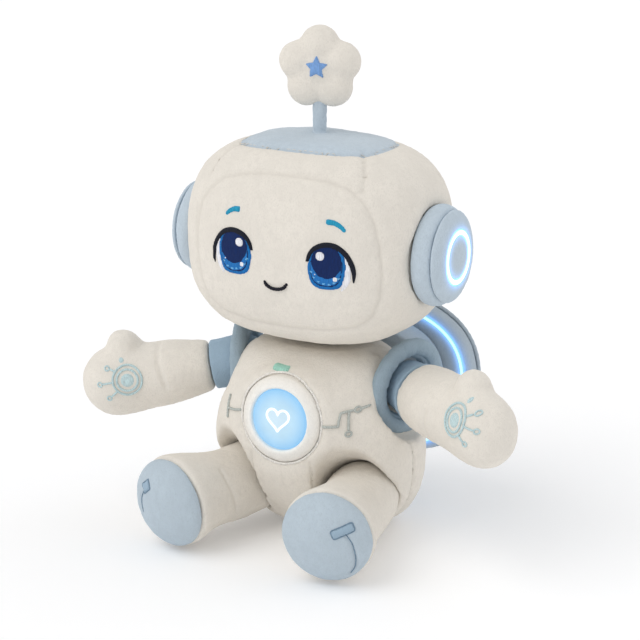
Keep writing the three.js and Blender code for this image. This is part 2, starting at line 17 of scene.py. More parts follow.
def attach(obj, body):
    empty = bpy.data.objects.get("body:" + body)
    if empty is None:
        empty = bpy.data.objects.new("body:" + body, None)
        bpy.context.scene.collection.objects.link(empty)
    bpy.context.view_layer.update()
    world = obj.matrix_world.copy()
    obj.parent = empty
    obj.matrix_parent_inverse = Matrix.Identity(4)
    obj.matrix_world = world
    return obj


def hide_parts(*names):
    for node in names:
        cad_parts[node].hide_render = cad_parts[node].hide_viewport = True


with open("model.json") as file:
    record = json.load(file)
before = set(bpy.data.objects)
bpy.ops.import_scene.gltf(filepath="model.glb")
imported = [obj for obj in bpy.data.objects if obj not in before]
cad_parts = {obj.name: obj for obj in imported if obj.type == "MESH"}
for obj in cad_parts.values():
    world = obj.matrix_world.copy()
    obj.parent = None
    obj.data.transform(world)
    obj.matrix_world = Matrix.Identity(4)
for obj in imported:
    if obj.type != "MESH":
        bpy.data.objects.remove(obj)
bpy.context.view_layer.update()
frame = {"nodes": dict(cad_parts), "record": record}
MM = 0.001
TAU = math.tau
SIDES = (("left", 1), ("right", -1))

# ---- sizes, as in the CAD
HEAD = {"centre": (0, 0, 179), "half": (78, 57, 61.5), "plan": 2.8, "side": 2.8}
BACK_SEAM_Y = 27
CROWN = {"half": (45, 32), "exponent": 3}
TORSO = [(0, 27, -9, 37), (2, 35, -14, 42), (6, 44, -20, 45.5), (13, 52.5, -27.5, 48.5),
    (25, 60.5, -39, 51), (40, 65, -46.5, 51), (56, 66, -49.5, 50), (72, 63.5, -48, 48),
    (87, 59, -43.5, 45), (99, 53.5, -37.5, 41), (108, 47, -31.5, 36), (113, 40, -26, 31),
    (115.3, 32, -21, 26)]
TORSO_PLAN = 2.2
EAR_Z = 176
ANTENNA = {"flower": 276.8, "turn": 15}
CHEST = {"centre": (0, -49.4, 79.4), "tilt": 4, "level": -2.6}
SHOULDER = {"x": 57, "y": 6, "z": 92.5}
RING = {"forward": 16, "droop": 4, "behind": 1}
ARM = {"left": (33, 1.5), "right": (27, 10.5)}
HAND_FLATNESS = 0.84
HIP = {"left": 39, "right": 38, "y": -20, "z": 33.6}
LEG = {"left": 10, "right": 16}
LEG_DROOP = 4.5
PACK = {"z": 79, "half": (71.5, 51.5), "plan": 2.5}
STRIP = {"inset": 6.3, "y": 60.75}
THIGH = {"drop": 5, "start": 50, "span": 38}
BATTERY = {"half": (31.4, 23.4), "z": 80, "corner": 7}


LUMP_SIZE, RIPPLE_SIZE = 19, 7
NAP_SIZE, TUFT_SIZE, NAP = 1.6, 3.4, 0.12
# Each seam table also sets the width of the painted shade along its groove; a soft seam's share is how
# strong that painted shade is.
SEAM = {"line": (0.9, 1.3), "valley": (0.7, 4.2), "pucker": 0.16, "pitch": 5.5, "groove_shade": 0.95}
SOFT_SEAM = {"line": (1, 1.5), "groove_shade": 1.1, "share": 0.35}
PRESSURE, CLOTH_STEPS, FILL = 4, 20, 0.8
THREAD_STEP = 0.55


# ---- directions and places
def unit(v):
    v = np.array(v, float)
    return v / np.linalg.norm(v)


def ease(share):
    """A share from 0 to 1 that starts and ends gently."""
    return share**2 * (3 - 2 * share)


def outward(sign, forward, droop):
    """A direction out to one side, turned forward and drooping by angles in degrees."""
    f, d = math.radians(forward), math.radians(droop)
    return np.array((sign * math.cos(f) * math.cos(d), -math.sin(f) * math.cos(d), -math.sin(d)))


def axes_along(direction, up=(0, 0, 1)):
    """Three unit vectors: across, up and along a direction."""
    along = unit(direction)
    lift = unit(np.array(up, float) - np.dot(up, along) * along)
    return np.cross(lift, along), lift, along


def to_world(points, origin, axes):
    """Points given across, up and along, carried to the robot's frame."""
    return np.array(origin) + np.asarray(points) @ np.array(axes)


def to_local(points, origin, axes):
    return (np.asarray(points) - np.array(origin)) @ np.array(axes).T


def out_along(points, origin, axes):
    """How far points are out along a place's own direction."""
    return to_local(points, origin, axes)[:, 2]


def off_axis(points, origin, axes):
    """How far points are from the line through a place."""
    return np.hypot(*to_local(points, origin, axes)[:, :2].T)


SHOULDER_AT = {n: np.array((s * SHOULDER["x"], SHOULDER["y"], SHOULDER["z"])) for n, s in SIDES}
RING_AXES = {n: axes_along(outward(s, RING["forward"], RING["droop"])) for n, s in SIDES}
ARM_AXES = {n: axes_along(outward(s, *ARM[n])) for n, s in SIDES}
HIP_AT = {n: np.array((s * HIP[n], HIP["y"], HIP["z"])) for n, s in SIDES}
LEG_AXES = {n: axes_along(outward(s, 90 - LEG[n], LEG_DROOP)) for n, s in SIDES}
ON_RING = {n: (SHOULDER_AT[n], RING_AXES[n]) for n, s in SIDES}
ON_ARM = {n: (SHOULDER_AT[n], ARM_AXES[n]) for n, s in SIDES}
ON_LEG = {n: (HIP_AT[n], LEG_AXES[n]) for n, s in SIDES}


def lowered(points, n):
    """The thigh hangs a little below the leg's straight line where it meets the hip."""
    share = np.clip((THIGH["start"] - out_along(points, *ON_LEG[n])) / THIGH["span"], 0, 1)
    return points - np.outer(THIGH["drop"] * ease(share), (0, 0, 1))


TILT = math.radians(CHEST["tilt"])
CHEST_AXES = axes_along((0, -math.cos(TILT), math.sin(TILT)))
ON_CHEST = (CHEST["centre"], CHEST_AXES)


# ---- numbers
def columns(*parts):
    """Points from rows of coordinates, or one number for all of them."""
    return np.stack(np.broadcast_arrays(*parts), axis=1)


def once_round(count):
    return np.arange(count) / count * TAU


def at_steps(line, count):
    """A line read off at even steps along it."""
    walked = walk(line)
    wanted = np.linspace(0, walked[-1], count)
    return np.stack([np.interp(wanted, walked, line[:, k]) for k in range(line.shape[1])], axis=1)


def walk(line):
    """How far along a line each of its points is."""
    return np.concatenate([[0], np.cumsum(np.linalg.norm(np.diff(line, axis=0), axis=1))])


def spline(rows, count):
    """Rows of numbers joined by a smooth curve and read off at even steps along it."""
    rows = np.array(rows, float)
    ends = np.vstack([2 * rows[0] - rows[1], rows, 2 * rows[-1] - rows[-2]])
    fine = []
    for i in range(len(rows) - 1):
        a, b, c, d = ends[i:i + 4]
        t = np.linspace(0, 1, 24, endpoint=i == len(rows) - 2)[:, None]
        bend, twist = 2 * a - 5 * b + 4 * c - d, 3 * b - a - 3 * c + d
        fine.append(0.5 * (2 * b + (c - a) * t + bend * t**2 + twist * t**3))
    return at_steps(np.vstack(fine), count)


def resample(points, step):
    """A polyline's points at about every step."""
    points = np.array(points, float)
    return at_steps(points, max(2, round(walk(points)[-1] / step) + 1))


def closed_loop(points):
    return np.vstack([points, points[:1]])


def smooth_line(points, step=0.5):
    return resample(spline(points, 20 * len(points)), step)


def smooth_loop(points, step=0.5):
    """A smooth closed outline through points, given once round and ending before its start."""
    points = np.array(points, float)
    twice = np.vstack([points[-2:], points, points[:3]])
    fine = spline(twice, 40 * len(twice))
    first = np.argmin(np.linalg.norm(fine[:len(fine) // 2] - points[0], axis=1))
    rest = len(fine) // 2
    last = rest + np.argmin(np.linalg.norm(fine[rest:] - points[0], axis=1))
    return resample(fine[first:last + 1], step)[:-1]


def loop_spline(points, count):
    """A closed smooth section with evenly spaced points."""
    return at_steps(closed_loop(smooth_loop(points, 0.1)), count + 1)[:-1]


def rotated(points, degrees_left):
    turn = math.radians(degrees_left)
    return points @ np.array(((math.cos(turn), math.sin(turn)), (-math.sin(turn), math.cos(turn))))


def power(value, exponent):
    return np.sign(value) * np.abs(value) ** exponent


def superellipse(half_x, half_y, exponent, angle):
    """An outline between an ellipse and a rectangle, at some angles or at a number of even ones."""
    angle = angle if np.ndim(angle) else once_round(angle)
    return columns(half_x * power(np.cos(angle), 2 / exponent), half_y * power(np.sin(angle), 2 / exponent))


def upright(flat, y, z):
    """An outline across and up, stood at a place along y and a height."""
    return columns(flat[:, 0], y, z - flat[:, 1])


def to_polyline(points, line, closed=False):
    """How far each 2D point is from a polyline, and how far along it the nearest place is."""
    line = closed_loop(line) if closed else np.asarray(line)
    best = np.full(len(points), 1e9)
    along = np.zeros(len(points))
    walked = 0
    for a, b in zip(line[:-1], line[1:]):
        step = b - a
        length = np.linalg.norm(step)
        if length < 1e-9:
            continue
        t = np.clip((points - a) @ step / length**2, 0, 1)
        far = np.linalg.norm(points - (a + t[:, None] * step), axis=1)
        nearer = far < best
        best[nearer] = far[nearer]
        along[nearer] = walked + t[nearer] * length
        walked += length
    return best, along


def inside(points, outline):
    """Which 2D points are inside a closed outline."""
    x, y = points[:, 0], points[:, 1]
    held = np.zeros(len(points), bool)
    for (x0, y0), (x1, y1) in zip(outline, np.roll(outline, -1, axis=0)):
        crosses = (y0 > y) != (y1 > y)
        with np.errstate(divide="ignore", invalid="ignore"):
            held ^= crosses & (x < (x1 - x0) * (y - y0) / (y1 - y0) + x0)
    return held


def rounded_rectangle(centre, half_width, half_height, corner, steps=8):
    points = []
    for quarter, (sx, sy) in enumerate(((1, 1), (-1, 1), (-1, -1), (1, -1))):
        for i in range(steps + 1):
            angle = (quarter + i / steps) * TAU / 4
            points.append((centre[0] + sx * (half_width - corner) + corner * math.cos(angle),
                centre[1] + sy * (half_height - corner) + corner * math.sin(angle)))
    return np.array(points)


def lumps(points, size, seed=0):
    """Smooth noise from -1 to 1 with features of a size in millimetres."""
    shift = Vector((seed, 1.7 * seed, -seed))
    return np.array([noise.noise(Vector(p) / size + shift) for p in points])


# ---- meshes
def make(name, points, faces):
    """A smooth-shaded object from points in millimetres."""
    mesh = bpy.data.meshes.new(name)
    mesh.from_pydata((np.asarray(points) * MM).tolist(), [], [list(map(int, f)) for f in faces])
    mesh.polygons.foreach_set("use_smooth", [True] * len(mesh.polygons))
    mesh.update()
    obj = bpy.data.objects.new(name, mesh)
    bpy.context.collection.objects.link(obj)
    return obj


def read(items, label):
    flat = np.empty(len(items) * 3)
    items.foreach_get(label, flat)
    return flat.reshape(-1, 3)


def points_of(obj):
    return read(obj.data.vertices, "co") / MM


def normals_of(obj):
    return read(obj.data.vertex_normals, "vector")


def set_points(obj, points):
    obj.data.vertices.foreach_set("co", (points * MM).ravel())
    obj.data.update()


def grid_faces(rows, count):
    """Quads over rows of points, each row running once round."""
    return [(r * count + i, r * count + (i + 1) % count, (r + 1) * count + (i + 1) % count,
        (r + 1) * count + i) for r in range(rows - 1) for i in range(count)]


def skin(rings):
    """Points and faces of a closed skin over rings, with a fan at each end."""
    count = len(rings[0])
    base = (len(rings) - 1) * count
    tip = base + count
    faces = grid_faces(len(rings), count)
    faces += [(tip, (i + 1) % count, i) for i in range(count)]
    faces += [(tip + 1, base + i, base + (i + 1) % count) for i in range(count)]
    return np.vstack([*rings, rings[0].mean(axis=0), rings[-1].mean(axis=0)]), faces


def looped(rings):
    """Points and faces of a skin over rings whose last joins the first."""
    points = np.vstack(rings)
    return points, [tuple(v % len(points) for v in f) for f in grid_faces(len(rings) + 1, len(rings[0]))]


def merged(parts):
    """Points and faces of several meshes as one."""
    points, faces = [], []
    for some, quads in parts:
        base = sum(len(p) for p in points)
        points.append(some)
        faces += [tuple(v + base for v in f) for f in quads]
    return np.vstack(points), faces


def turned(profile, count, origin=(0, 0, 0), axes=None, flatness=None):
    """A turned skin from rows of distance along and radius."""
    axes = axes_along((0, 0, 1), (0, 1, 0)) if axes is None else axes
    angle = once_round(count)
    rings = []
    for distance, radius in profile:
        flat = flatness(distance) if flatness else 1
        local = columns(radius * np.cos(angle) * flat, radius * np.sin(angle), distance)
        rings.append(to_world(local, origin, axes))
    return skin(rings)


def edit(obj, change):
    mesh = bmesh.new()
    mesh.from_mesh(obj.data)
    change(mesh)
    mesh.to_mesh(obj.data)
    mesh.free()


def join(obj, other):
    """Takes another object's faces into the first one."""
    edit(obj, lambda mesh: mesh.from_mesh(other.data))
    bpy.data.objects.remove(other)


def outward_faces(obj):
    """Turns the faces to point out of a closed mesh."""
    edit(obj, lambda mesh: bmesh.ops.recalc_face_normals(mesh, faces=mesh.faces))


def cut_away(obj, cutters):
    """Takes every cutter's space out of an object."""
    outward_faces(obj)
    for cutter in cutters:
        outward_faces(cutter)
        step = obj.modifiers.new("cut", "BOOLEAN")
        step.operation, step.solver, step.object = "DIFFERENCE", "EXACT", cutter
    apply_modifiers(obj)
    for cutter in cutters:
        bpy.data.objects.remove(cutter)


def half_ball(radius, steps=9):
    """Rows of distance along and radius over the near half of a ball, from its pole outward."""
    turns = np.linspace(0, math.pi / 2, steps)
    return [(-radius * math.cos(t), max(0.5, radius * math.sin(t))) for t in turns]


def ring_skin(section, count, origin, axes):
    """A closed ring whose cross-section is rows of radius and distance along."""
    reach, along = section.T
    return looped([to_world(columns(reach * math.cos(t), reach * math.sin(t), along), origin,
        axes) for t in once_round(count)])


def apply_modifiers(obj):
    evaluated = obj.evaluated_get(bpy.context.evaluated_depsgraph_get())
    mesh = bpy.data.meshes.new_from_object(evaluated)
    obj.modifiers.clear()
    old = obj.data
    obj.data = mesh
    bpy.data.meshes.remove(old)
    mesh.polygons.foreach_set("use_smooth", [True] * len(mesh.polygons))


def remesh(obj, voxel, rounds=5):
    step = obj.modifiers.new("remesh", "REMESH")
    step.mode, step.voxel_size = "VOXEL", voxel * MM
    smooth = obj.modifiers.new("smooth", "SMOOTH")
    smooth.factor, smooth.iterations = 0.5, rounds
    apply_modifiers(obj)


def refine(obj, levels):
    step = obj.modifiers.new("fine", "SUBSURF")
    step.levels = step.render_levels = levels
    apply_modifiers(obj)


def cube_sphere(n):
    """Unit directions and quads of a sphere made from a cube with n by n squares a side."""
    mesh = bmesh.new()
    bmesh.ops.create_cube(mesh, size=2)
    bmesh.ops.subdivide_edges(mesh, edges=mesh.edges[:], cuts=n - 1, use_grid_fill=True)
    points = np.array([v.co[:] for v in mesh.verts])
    faces = [[v.index for v in f.verts] for f in mesh.faces]
    mesh.free()
    points = np.tan(points * math.pi / 4)
    return points / np.linalg.norm(points, axis=1)[:, None], faces


# ---- sewing and stuffing
stuffed = []


def within(reach, *place):
    """A test for points less than so far out along a place's direction."""
    return lambda points: out_along(points, *place) < reach


def stuff(obj, body, look, nodes=None, **sewing):
    """Notes a cover to be blown up, sewn and given its pile. Its seams are lines of 3D points."""
    outward_faces(obj)
    obj.data.materials.append(look)
    stuffed.append({"obj": obj, "seams": (), "soft_seams": (), "lump": 0.5, "still": None, "wrinkle": None,
        "after": None, **sewing})
    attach(obj, body)
    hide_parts(*(nodes or (obj.name.removesuffix("_cover"),)))


def near(points, line):
    """How far each point is from a line of close points, and how far along the nearest one is."""
    line = resample(line, 0.7)
    tree = KDTree(len(line))
    for i, at in enumerate(line):
        tree.insert(at, i)
    tree.balance()
    found = [tree.find(p) for p in points]
    return np.array([f[2] for f in found]), np.array([f[1] for f in found]) * 0.7


def snapped(line, tree):
    """A line moved onto the nearest places of a surface."""
    return np.array([tree.find_nearest(Vector(p))[0] for p in resample(line, 0.8)])


def blow_up():
    """Fills every cover: cloth under pressure, held along its seams and where it is sewn down."""
    scene = bpy.context.scene
    for item in stuffed:
        obj = item["obj"]
        item["rest"] = points_of(obj)
        hold = np.zeros(len(item["rest"]))
        for seam in item["seams"]:
            hold = np.maximum(hold, np.clip(1.5 - near(item["rest"], seam)[0] / 2.4, 0, 1))
        if item["still"]:
            hold = np.where(item["still"](item["rest"]), 1, hold)
        group = obj.vertex_groups.new(name="sewn")
        for index in np.nonzero(hold > 0)[0]:
            group.add([int(index)], float(hold[index]), "REPLACE")
        item["hold"] = hold
        cloth = obj.modifiers.new("cloth", "CLOTH")
        cloth.settings.vertex_group_mass = "sewn"
        cloth.settings.use_pressure = True
        cloth.settings.uniform_pressure_force = PRESSURE
        cloth.settings.effector_weights.gravity = 0
        cloth.settings.quality = 4
    for step in range(1, CLOTH_STEPS + 1):
        scene.frame_set(step)
    graph = bpy.context.evaluated_depsgraph_get()
    for item in stuffed:
        moved = points_of(item["obj"].evaluated_get(graph)) - item["rest"]
        far = np.linalg.norm(moved, axis=1)
        moved *= (item["swell"] * np.tanh(far / item["swell"]) / np.maximum(far, 1e-6))[:, None]
        item["moved"] = moved * (1 - item["hold"])[:, None]
    for item in stuffed:
        item["obj"].modifiers.clear()
        item["obj"].vertex_groups.clear()
        set_points(item["obj"], item["rest"] + item["moved"])
    scene.frame_set(1)


def groove(far, depth, width):
    """A depth that fades with the distance from a line."""
    return depth * np.exp(-(far / width) ** 2)


def finish_covers():
    """Finer mesh, then sewn grooves with puckers, and the uneven surface of the pile."""
    for item in stuffed:
        obj = item["obj"]
        refine(obj, 1)
        points, normals = points_of(obj), normals_of(obj)
        lump = item["lump"]
        push = lump * lumps(points, LUMP_SIZE, 3) + 0.35 * lump * lumps(points, RIPPLE_SIZE, 5)
        push += NAP * lumps(points, NAP_SIZE, 9) + 0.8 * NAP * lumps(points, TUFT_SIZE, 11)
        tree = surface_of(obj)
        # How much painted shade each point gets along the seams and creases; the plush material darkens its
        # colour by it.
        groove_shade = np.zeros(len(points))
        for seam in item["seams"]:
            far, along = near(points, snapped(seam, tree))
            push -= groove(far, *SEAM["line"]) + groove(far, *SEAM["valley"])
            pucker = np.sin(along * TAU / SEAM["pitch"] + 2 * np.sin(along / 9))
            push += pucker * groove(far - 3, SEAM["pucker"], 2.2)
            groove_shade = np.maximum(groove_shade, groove(far, 1, SEAM["groove_shade"]))
        for seam in item["soft_seams"]:
            far = near(points, snapped(seam, tree))[0]
            push -= groove(far, *SOFT_SEAM["line"])
            groove_shade = np.maximum(groove_shade, groove(far, SOFT_SEAM["share"], SOFT_SEAM["groove_shade"]))
        mark(obj, "seam", groove_shade)
        if item["wrinkle"]:
            origin, axes, count, depth = item["wrinkle"]
            local = to_local(points, origin, axes)
            turn = np.arctan2(local[:, 1], local[:, 0])
            push -= depth * (0.5 + 0.5 * np.sin(turn * count + 1.4 * np.sin(3 * turn))) ** 3
        set_points(obj, points + normals * push[:, None])
        if item["after"]:
            item["after"](obj)


# ---- sewn details on a surface
def surface_of(obj):
    points = points_of(obj)
    return BVHTree.FromPolygons(points.tolist(), [list(p.vertices) for p in obj.data.polygons])


def lay(flat, place, height):
    """2D points across and up from a place, dropped on its surface along its third axis."""
    tree, origin, axes, _ = place
    across, up, along = np.array(axes)
    placed = []
    for (u, v), h in zip(flat, np.broadcast_to(height, len(flat))):
        start = np.array(origin) + u * across + v * up + 40 * along
        hit, normal, _, _ = tree.ray_cast(Vector(start), Vector(-along), 90)
        if hit is None:
            hit, normal = Vector(start - 40 * along), Vector(along)
        placed.append(np.array(hit) + h * np.array(normal))
    return np.array(placed)


def patch(name, outline, place, thickness, look, base=0.12, step=0.8):
    """A filled shape embroidered on a surface: domed, with its edge sunk in the pile."""
    outline = resample(closed_loop(outline), step * 0.75)[:-1]
    low, high = outline.min(axis=0), outline.max(axis=0)
    columns, rows = (np.arange(a, b, step) for a, b in zip(low, high))
    grid = np.array([(x, y) for x in columns for y in rows])
    edge = to_polyline(grid, outline, True)[0]
    grid = grid[inside(grid, outline) & (edge > 0.4 * step)]
    flat = np.vstack([outline, grid])
    count = len(outline)
    edges = [(i, (i + 1) % count) for i in range(count)]
    coords, _, faces, _, _, _ = delaunay_2d_cdt([Vector(p) for p in flat], edges, [list(range(count))], 1,
        1e-5)
    flat = np.array([c[:] for c in coords])
    far = to_polyline(flat, outline, True)[0]
    height = base + thickness * np.sqrt(np.clip(far / 1.1, 0, 1)) - 0.5 * (far < 0.05)
    return dress(make(name, lay(flat, place, height), faces), place[3], look)


def dress(obj, body, look, slot=None, node=None):
    """Gives a piece its material and the body it rides on, and the node it stands for; the slot is not
    used.
    """
    obj.data.materials.append(threads.get(look, look))
    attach(obj, body)
    if node:
        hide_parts(node)
    return obj


def tube_points(line, radius, sides, closed, normal_hint):
    """Points and faces of a tube along a 3D line, with round ends if it is open."""
    line = np.array(line)
    count = len(line)
    rings = []
    for i, at in enumerate(line):
        before = line[i - 1] if closed or i else line[i]
        after = line[(i + 1) % count] if closed or i < count - 1 else line[i]
        along = unit(after - before)
        side = unit(np.cross(along, normal_hint))
        lift = np.cross(side, along)
        width = radius[i] if np.ndim(radius) else radius
        angle = once_round(sides)
        rings.append(at + width * (np.outer(np.cos(angle), side) + np.outer(np.sin(angle), lift)))
    return looped(rings) if closed else skin(rings)


def thread(name, lines, place, radius, look, closed=False, sink=0.3, pitch=1.6):
    """Embroidered lines of satin stitches laid on a surface, as one piece."""
    tubes = []
    for line in lines:
        flat = resample(closed_loop(line) if closed else line, THREAD_STEP)
        flat = flat[:-1] if closed else flat
        placed = lay(flat, place, radius * (1 - 2 * sink))
        rank = np.arange(len(flat)) * THREAD_STEP
        width = radius * (1 + 0.12 * np.sin(rank * TAU / pitch))
        if not closed:
            ends = np.minimum(rank, rank[::-1]) / max(radius, 0.3)
            width = width * np.sqrt(np.clip(0.25 + ends, 0, 1))
        tubes.append(tube_points(placed, width, 8, closed, place[2][2]))
    return dress(make(name, *merged(tubes)), place[3], look)


def circle(u, v, radius, count=28):
    angle = once_round(count)
    return columns(u + radius * np.cos(angle), v + radius * np.sin(angle))


# ---- materials
class Look:
    """A new material, and the nodes that its surface is made from."""

    def __init__(self, name):
        self.made = bpy.data.materials.new(name)
        self.made.use_nodes = True
        self.tree = self.made.node_tree
        self.shader = self.tree.nodes["Principled BSDF"]

    def fill(self, node, **inputs):
        """Links a node's inputs, or sets those given as numbers and colours."""
        for label, value in inputs.items():
            socket = node.inputs[label.replace("_", " ")]
            if isinstance(value, bpy.types.NodeSocket):
                self.tree.links.new(value, socket)
            else:
                socket.default_value = (*value, 1) if socket.type == "RGBA" else value

    def surface(self, **inputs):
        self.fill(self.shader, **inputs)

    def node(self, kind, output, **inputs):
        """The output of a new node."""
        made = self.tree.nodes.new(f"ShaderNode{kind}")
        self.fill(made, **inputs)
        return made.outputs[output]

    def field(self, scale, detail=2, stretch=(1, 1, 1)):
        """A noise over the piece's own coordinates, in features per metre."""
        at = self.node("Mapping", "Vector", Vector=self.node("TexCoord", "Object"), Scale=stretch)
        return self.node("TexNoise", "Fac", Vector=at, Scale=scale, Detail=detail)

    def attribute(self, label):
        found = self.node("Attribute", "Fac")
        found.node.attribute_name = label
        return found

    def between(self, factor, a, b, low=0, high=1):
        """A colour between a and b as a factor goes from low to high."""
        share = self.node("MapRange", "Result", Value=factor, From_Min=low, From_Max=high)
        mix = self.tree.nodes.new("ShaderNodeMix")
        mix.data_type = "RGBA"
        self.fill(mix, Factor=share, A=a, B=b)
        return mix.outputs["Result"]

    def bump(self, heights, distance, strength):
        """Bump from one or more height fields, one after another."""
        under = {}
        for height, share in heights:
            under = {"Normal": self.node("Bump", "Normal", Strength=strength * share, Distance=distance,
                Height=height, **under)}
        self.surface(**under)


def shade(colour, factor):
    return tuple(min(1, c * factor) for c in colour)


def plush(name, colour, patch_colour=None, lit=None):
    """Short soft pile: faintly mottled, with a fine nap and a velvety sheen, and painted shade down in the
    seams and creases.
    """
    look = Look(name)
    mottle = look.field(70, 3)
    brushed = look.field(330, 3, (1, 1, 0.6))
    fibre = look.field(1500, 2, (1, 1, 0.5))

    def pile(base):
        tone = look.between(mottle, shade(base, 0.96), shade(base, 1.02), 0.3, 0.7)
        tone = look.between(brushed, shade(base, 0.945), tone, 0.3, 0.52)
        tone = look.between(fibre, shade(base, 0.91), tone, 0.28, 0.5)
        # Painted shade: darker colour down in the seams and creases, as marked on the mesh.
        return look.between(look.attribute("seam"), tone, shade(base, 0.91))

    tint = pile(colour)
    if patch_colour:
        tint = look.between(look.attribute("patch"), tint, pile(patch_colour), -0.15, 0.15)
    look.surface(Base_Color=tint, Roughness=0.92, Specular_IOR_Level=0.15, Sheen_Weight=0.25,
        Sheen_Roughness=0.5, Sheen_Tint=shade(colour, 1.2))
    if lit:
        look.surface(Emission_Color=look.between(look.attribute("lit"), (0, 0, 0), lit),
            Emission_Strength=1)
    look.bump(((brushed, 0.5), (fibre, 0.7)), 0.0007, 0.6)
    return look.made


def satin(name, colour):
    """Embroidery thread laid side by side, with a soft gloss."""
    look = Look(name)
    strands = look.field(2600, 1, (1, 1, 0.1))
    bright = look.between(strands, shade(colour, 0.78), shade(colour, 1.08), 0.35, 0.6)
    tone = look.between(look.field(240, 2), shade(colour, 0.93), bright, 0.2, 0.5)
    look.surface(Base_Color=tone, Roughness=0.6, Specular_IOR_Level=0.2)
    look.bump(((strands, 1),), 0.0004, 0.7)
    return look.made


def moulded(name, colour, roughness=0.45, metallic=0, grain=1400):
    """Moulded plastic or plain metal with a fine texture and rubbed patches."""
    look = Look(name)
    fine = look.field(grain, 2)
    wear = look.field(60, 4)
    look.surface(Base_Color=look.between(wear, shade(colour, 0.9), shade(colour, 1.08), 0.35, 0.65),
        Metallic=metallic, Roughness=look.node("MapRange", "Result", Value=wear, To_Min=roughness - 0.1,
        To_Max=roughness + 0.12))
    look.bump(((fine, 1),), 0.0002, 0.35)
    return look.made


def glowing(name, colour, strength, edge=None):
    """A lit milky diffuser, whose light turns to the edge colour where the mesh is marked so."""
    look = Look(name)
    cloud = look.field(120, 2)
    tint = look.between(cloud, shade(colour, 0.96), colour, 0.3, 0.7)
    if edge:
        tint = look.between(look.attribute("edge"), tint, edge)
    look.surface(Emission_Color=tint, Emission_Strength=strength, Roughness=0.4, Specular_IOR_Level=0.2,
        Base_Color=look.between(cloud, shade(colour, 0.27), shade(colour, 0.3), 0.3, 0.7))
    return look.made


CREAM = (0.80, 0.755, 0.685)
BLUE = (0.53, 0.615, 0.69)
HALO = (0.10, 0.36, 0.95)
cream = plush("cream_plush", CREAM)
cream_crown = plush("cream_plush_crown", CREAM, BLUE)
blue = plush("blue_plush", BLUE)
ear_blue = plush("ear_plush", BLUE, lit=HALO)
foot_blue = plush("foot_plush", (0.49, 0.57, 0.635))
pack_blue = plush("pack_plush", shade(BLUE, 0.84), lit=HALO)
ring_blue = plush("ring_plush", (0.33, 0.42, 0.49))
sleeve_blue = plush("sleeve_plush", (0.34, 0.455, 0.56))
lit_cream = plush("lit_cream_plush", CREAM, lit=(0.13, 0.16, 0.19))
THREADS = {"lash": (0.008, 0.010, 0.020), "navy": (0.002, 0.018, 0.100), "rim": (0.008, 0.155, 0.46),
    "iris": (0.016, 0.17, 0.50), "sky": (0.16, 0.45, 0.76), "white": (0.86, 0.86, 0.90),
    "teal": (0.020, 0.32, 0.52), "mouth": (0.010, 0.010, 0.018), "palm": (0.56, 0.71, 0.73),
    "circuit": (0.50, 0.53, 0.50), "mint": (0.36, 0.66, 0.55), "star": (0.20, 0.37, 0.70),
    "seam": (0.76, 0.715, 0.645), "blue_seam": (0.20, 0.29, 0.38), "piping": (0.86, 0.83, 0.78)}
threads = {name: satin(f"thread_{name}", colour) for name, colour in THREADS.items()}
lens_glow = glowing("lens_glow", (0.58, 0.82, 0.99), 0.70, (0.26, 0.60, 0.97))
heart_glow = glowing("heart_glow", (0.96, 1, 1), 1.05)
heart_fill_glow = glowing("heart_fill_glow", (0.66, 0.84, 0.96), 0.72)
ring_glow = glowing("ring_glow", (0.85, 0.97, 1), 1.6, (0.16, 0.50, 1))
strip_glow = glowing("strip_glow", (0.40, 0.72, 1), 1.7)


def mark(obj, label, values):
    """Writes a number on each point of a mesh, which its material reads."""
    attribute = obj.data.attributes.get(label) or obj.data.attributes.new(label, "FLOAT", "POINT")
    attribute.data.foreach_set("value", np.asarray(values, float))


# ---- the frame's own pieces that stay
SLOTS = {"joint_nylon": moulded("nylon", (0.80, 0.78, 0.70), 0.5), "grey_plastic": moulded("grey_plastic",
    (0.50, 0.54, 0.58), 0.5), "black_plastic": moulded("black_plastic", (0.035, 0.036, 0.04), 0.5),
    "circuit_board": moulded("solder_resist", (0.03, 0.20, 0.09), 0.35, grain=500),
    "cell_wrap": moulded("cell_wrap", (0.10, 0.16, 0.27), 0.3, grain=300),
    "screw_steel": moulded("screw_steel", (0.55, 0.55, 0.57), 0.35, 1)}
for row in frame["record"]["subparts"]:
    if row["material_slot"] in SLOTS:
        slots = frame["nodes"][row["node"]].data.materials
        slots.clear()
        slots.append(SLOTS[row["material_slot"]])

# ---- head, with its face and crown panels
def head_surface(directions, inset=0.9):
    half = np.array(HEAD["half"]) - inset
    size = (np.abs(directions / half) ** HEAD["plan"]).sum(axis=1)
    return directions * (size ** (-1 / HEAD["plan"]))[:, None] + np.array(HEAD["centre"])


def seat_the_ears(points):
    """The head is drawn in flat where the ears are sewn on."""
    reach = np.hypot(points[:, 1], points[:, 2] - EAR_Z)
    limit = 71 + np.clip(reach - 27.5, 0, 3) * 3
    points[:, 0] = np.clip(points[:, 0], -limit, limit)
    return points


def on_head(flat, axes, middle=HEAD["centre"]):
    """2D points, dropped along an axis on the head's own shape."""
    half = np.array(HEAD["half"])
    across, up, along = (np.array(a, float) for a in axes)
    placed = []
    for u, v in flat:
        low, high = 0, 90
        start = np.array(middle, float) + u * across + v * up - np.array(HEAD["centre"])
        for _ in range(24):
            mid = (low + high) / 2
            outside = (np.abs((start + mid * along) / half) ** HEAD["plan"]).sum() > 1
            low, high = (low, mid) if outside else (mid, high)
        placed.append(start + low * along + np.array(HEAD["centre"]))
    return np.array(placed)


FRONT = ((1, 0, 0), (0, 0, 1), (0, -1, 0))
ABOVE = ((1, 0, 0), (0, 1, 0), (0, 0, 1))
directions, quads = cube_sphere(44)
head_cover = make("head_cover", seat_the_ears(head_surface(directions)), quads)
remesh(head_cover, 2.7)

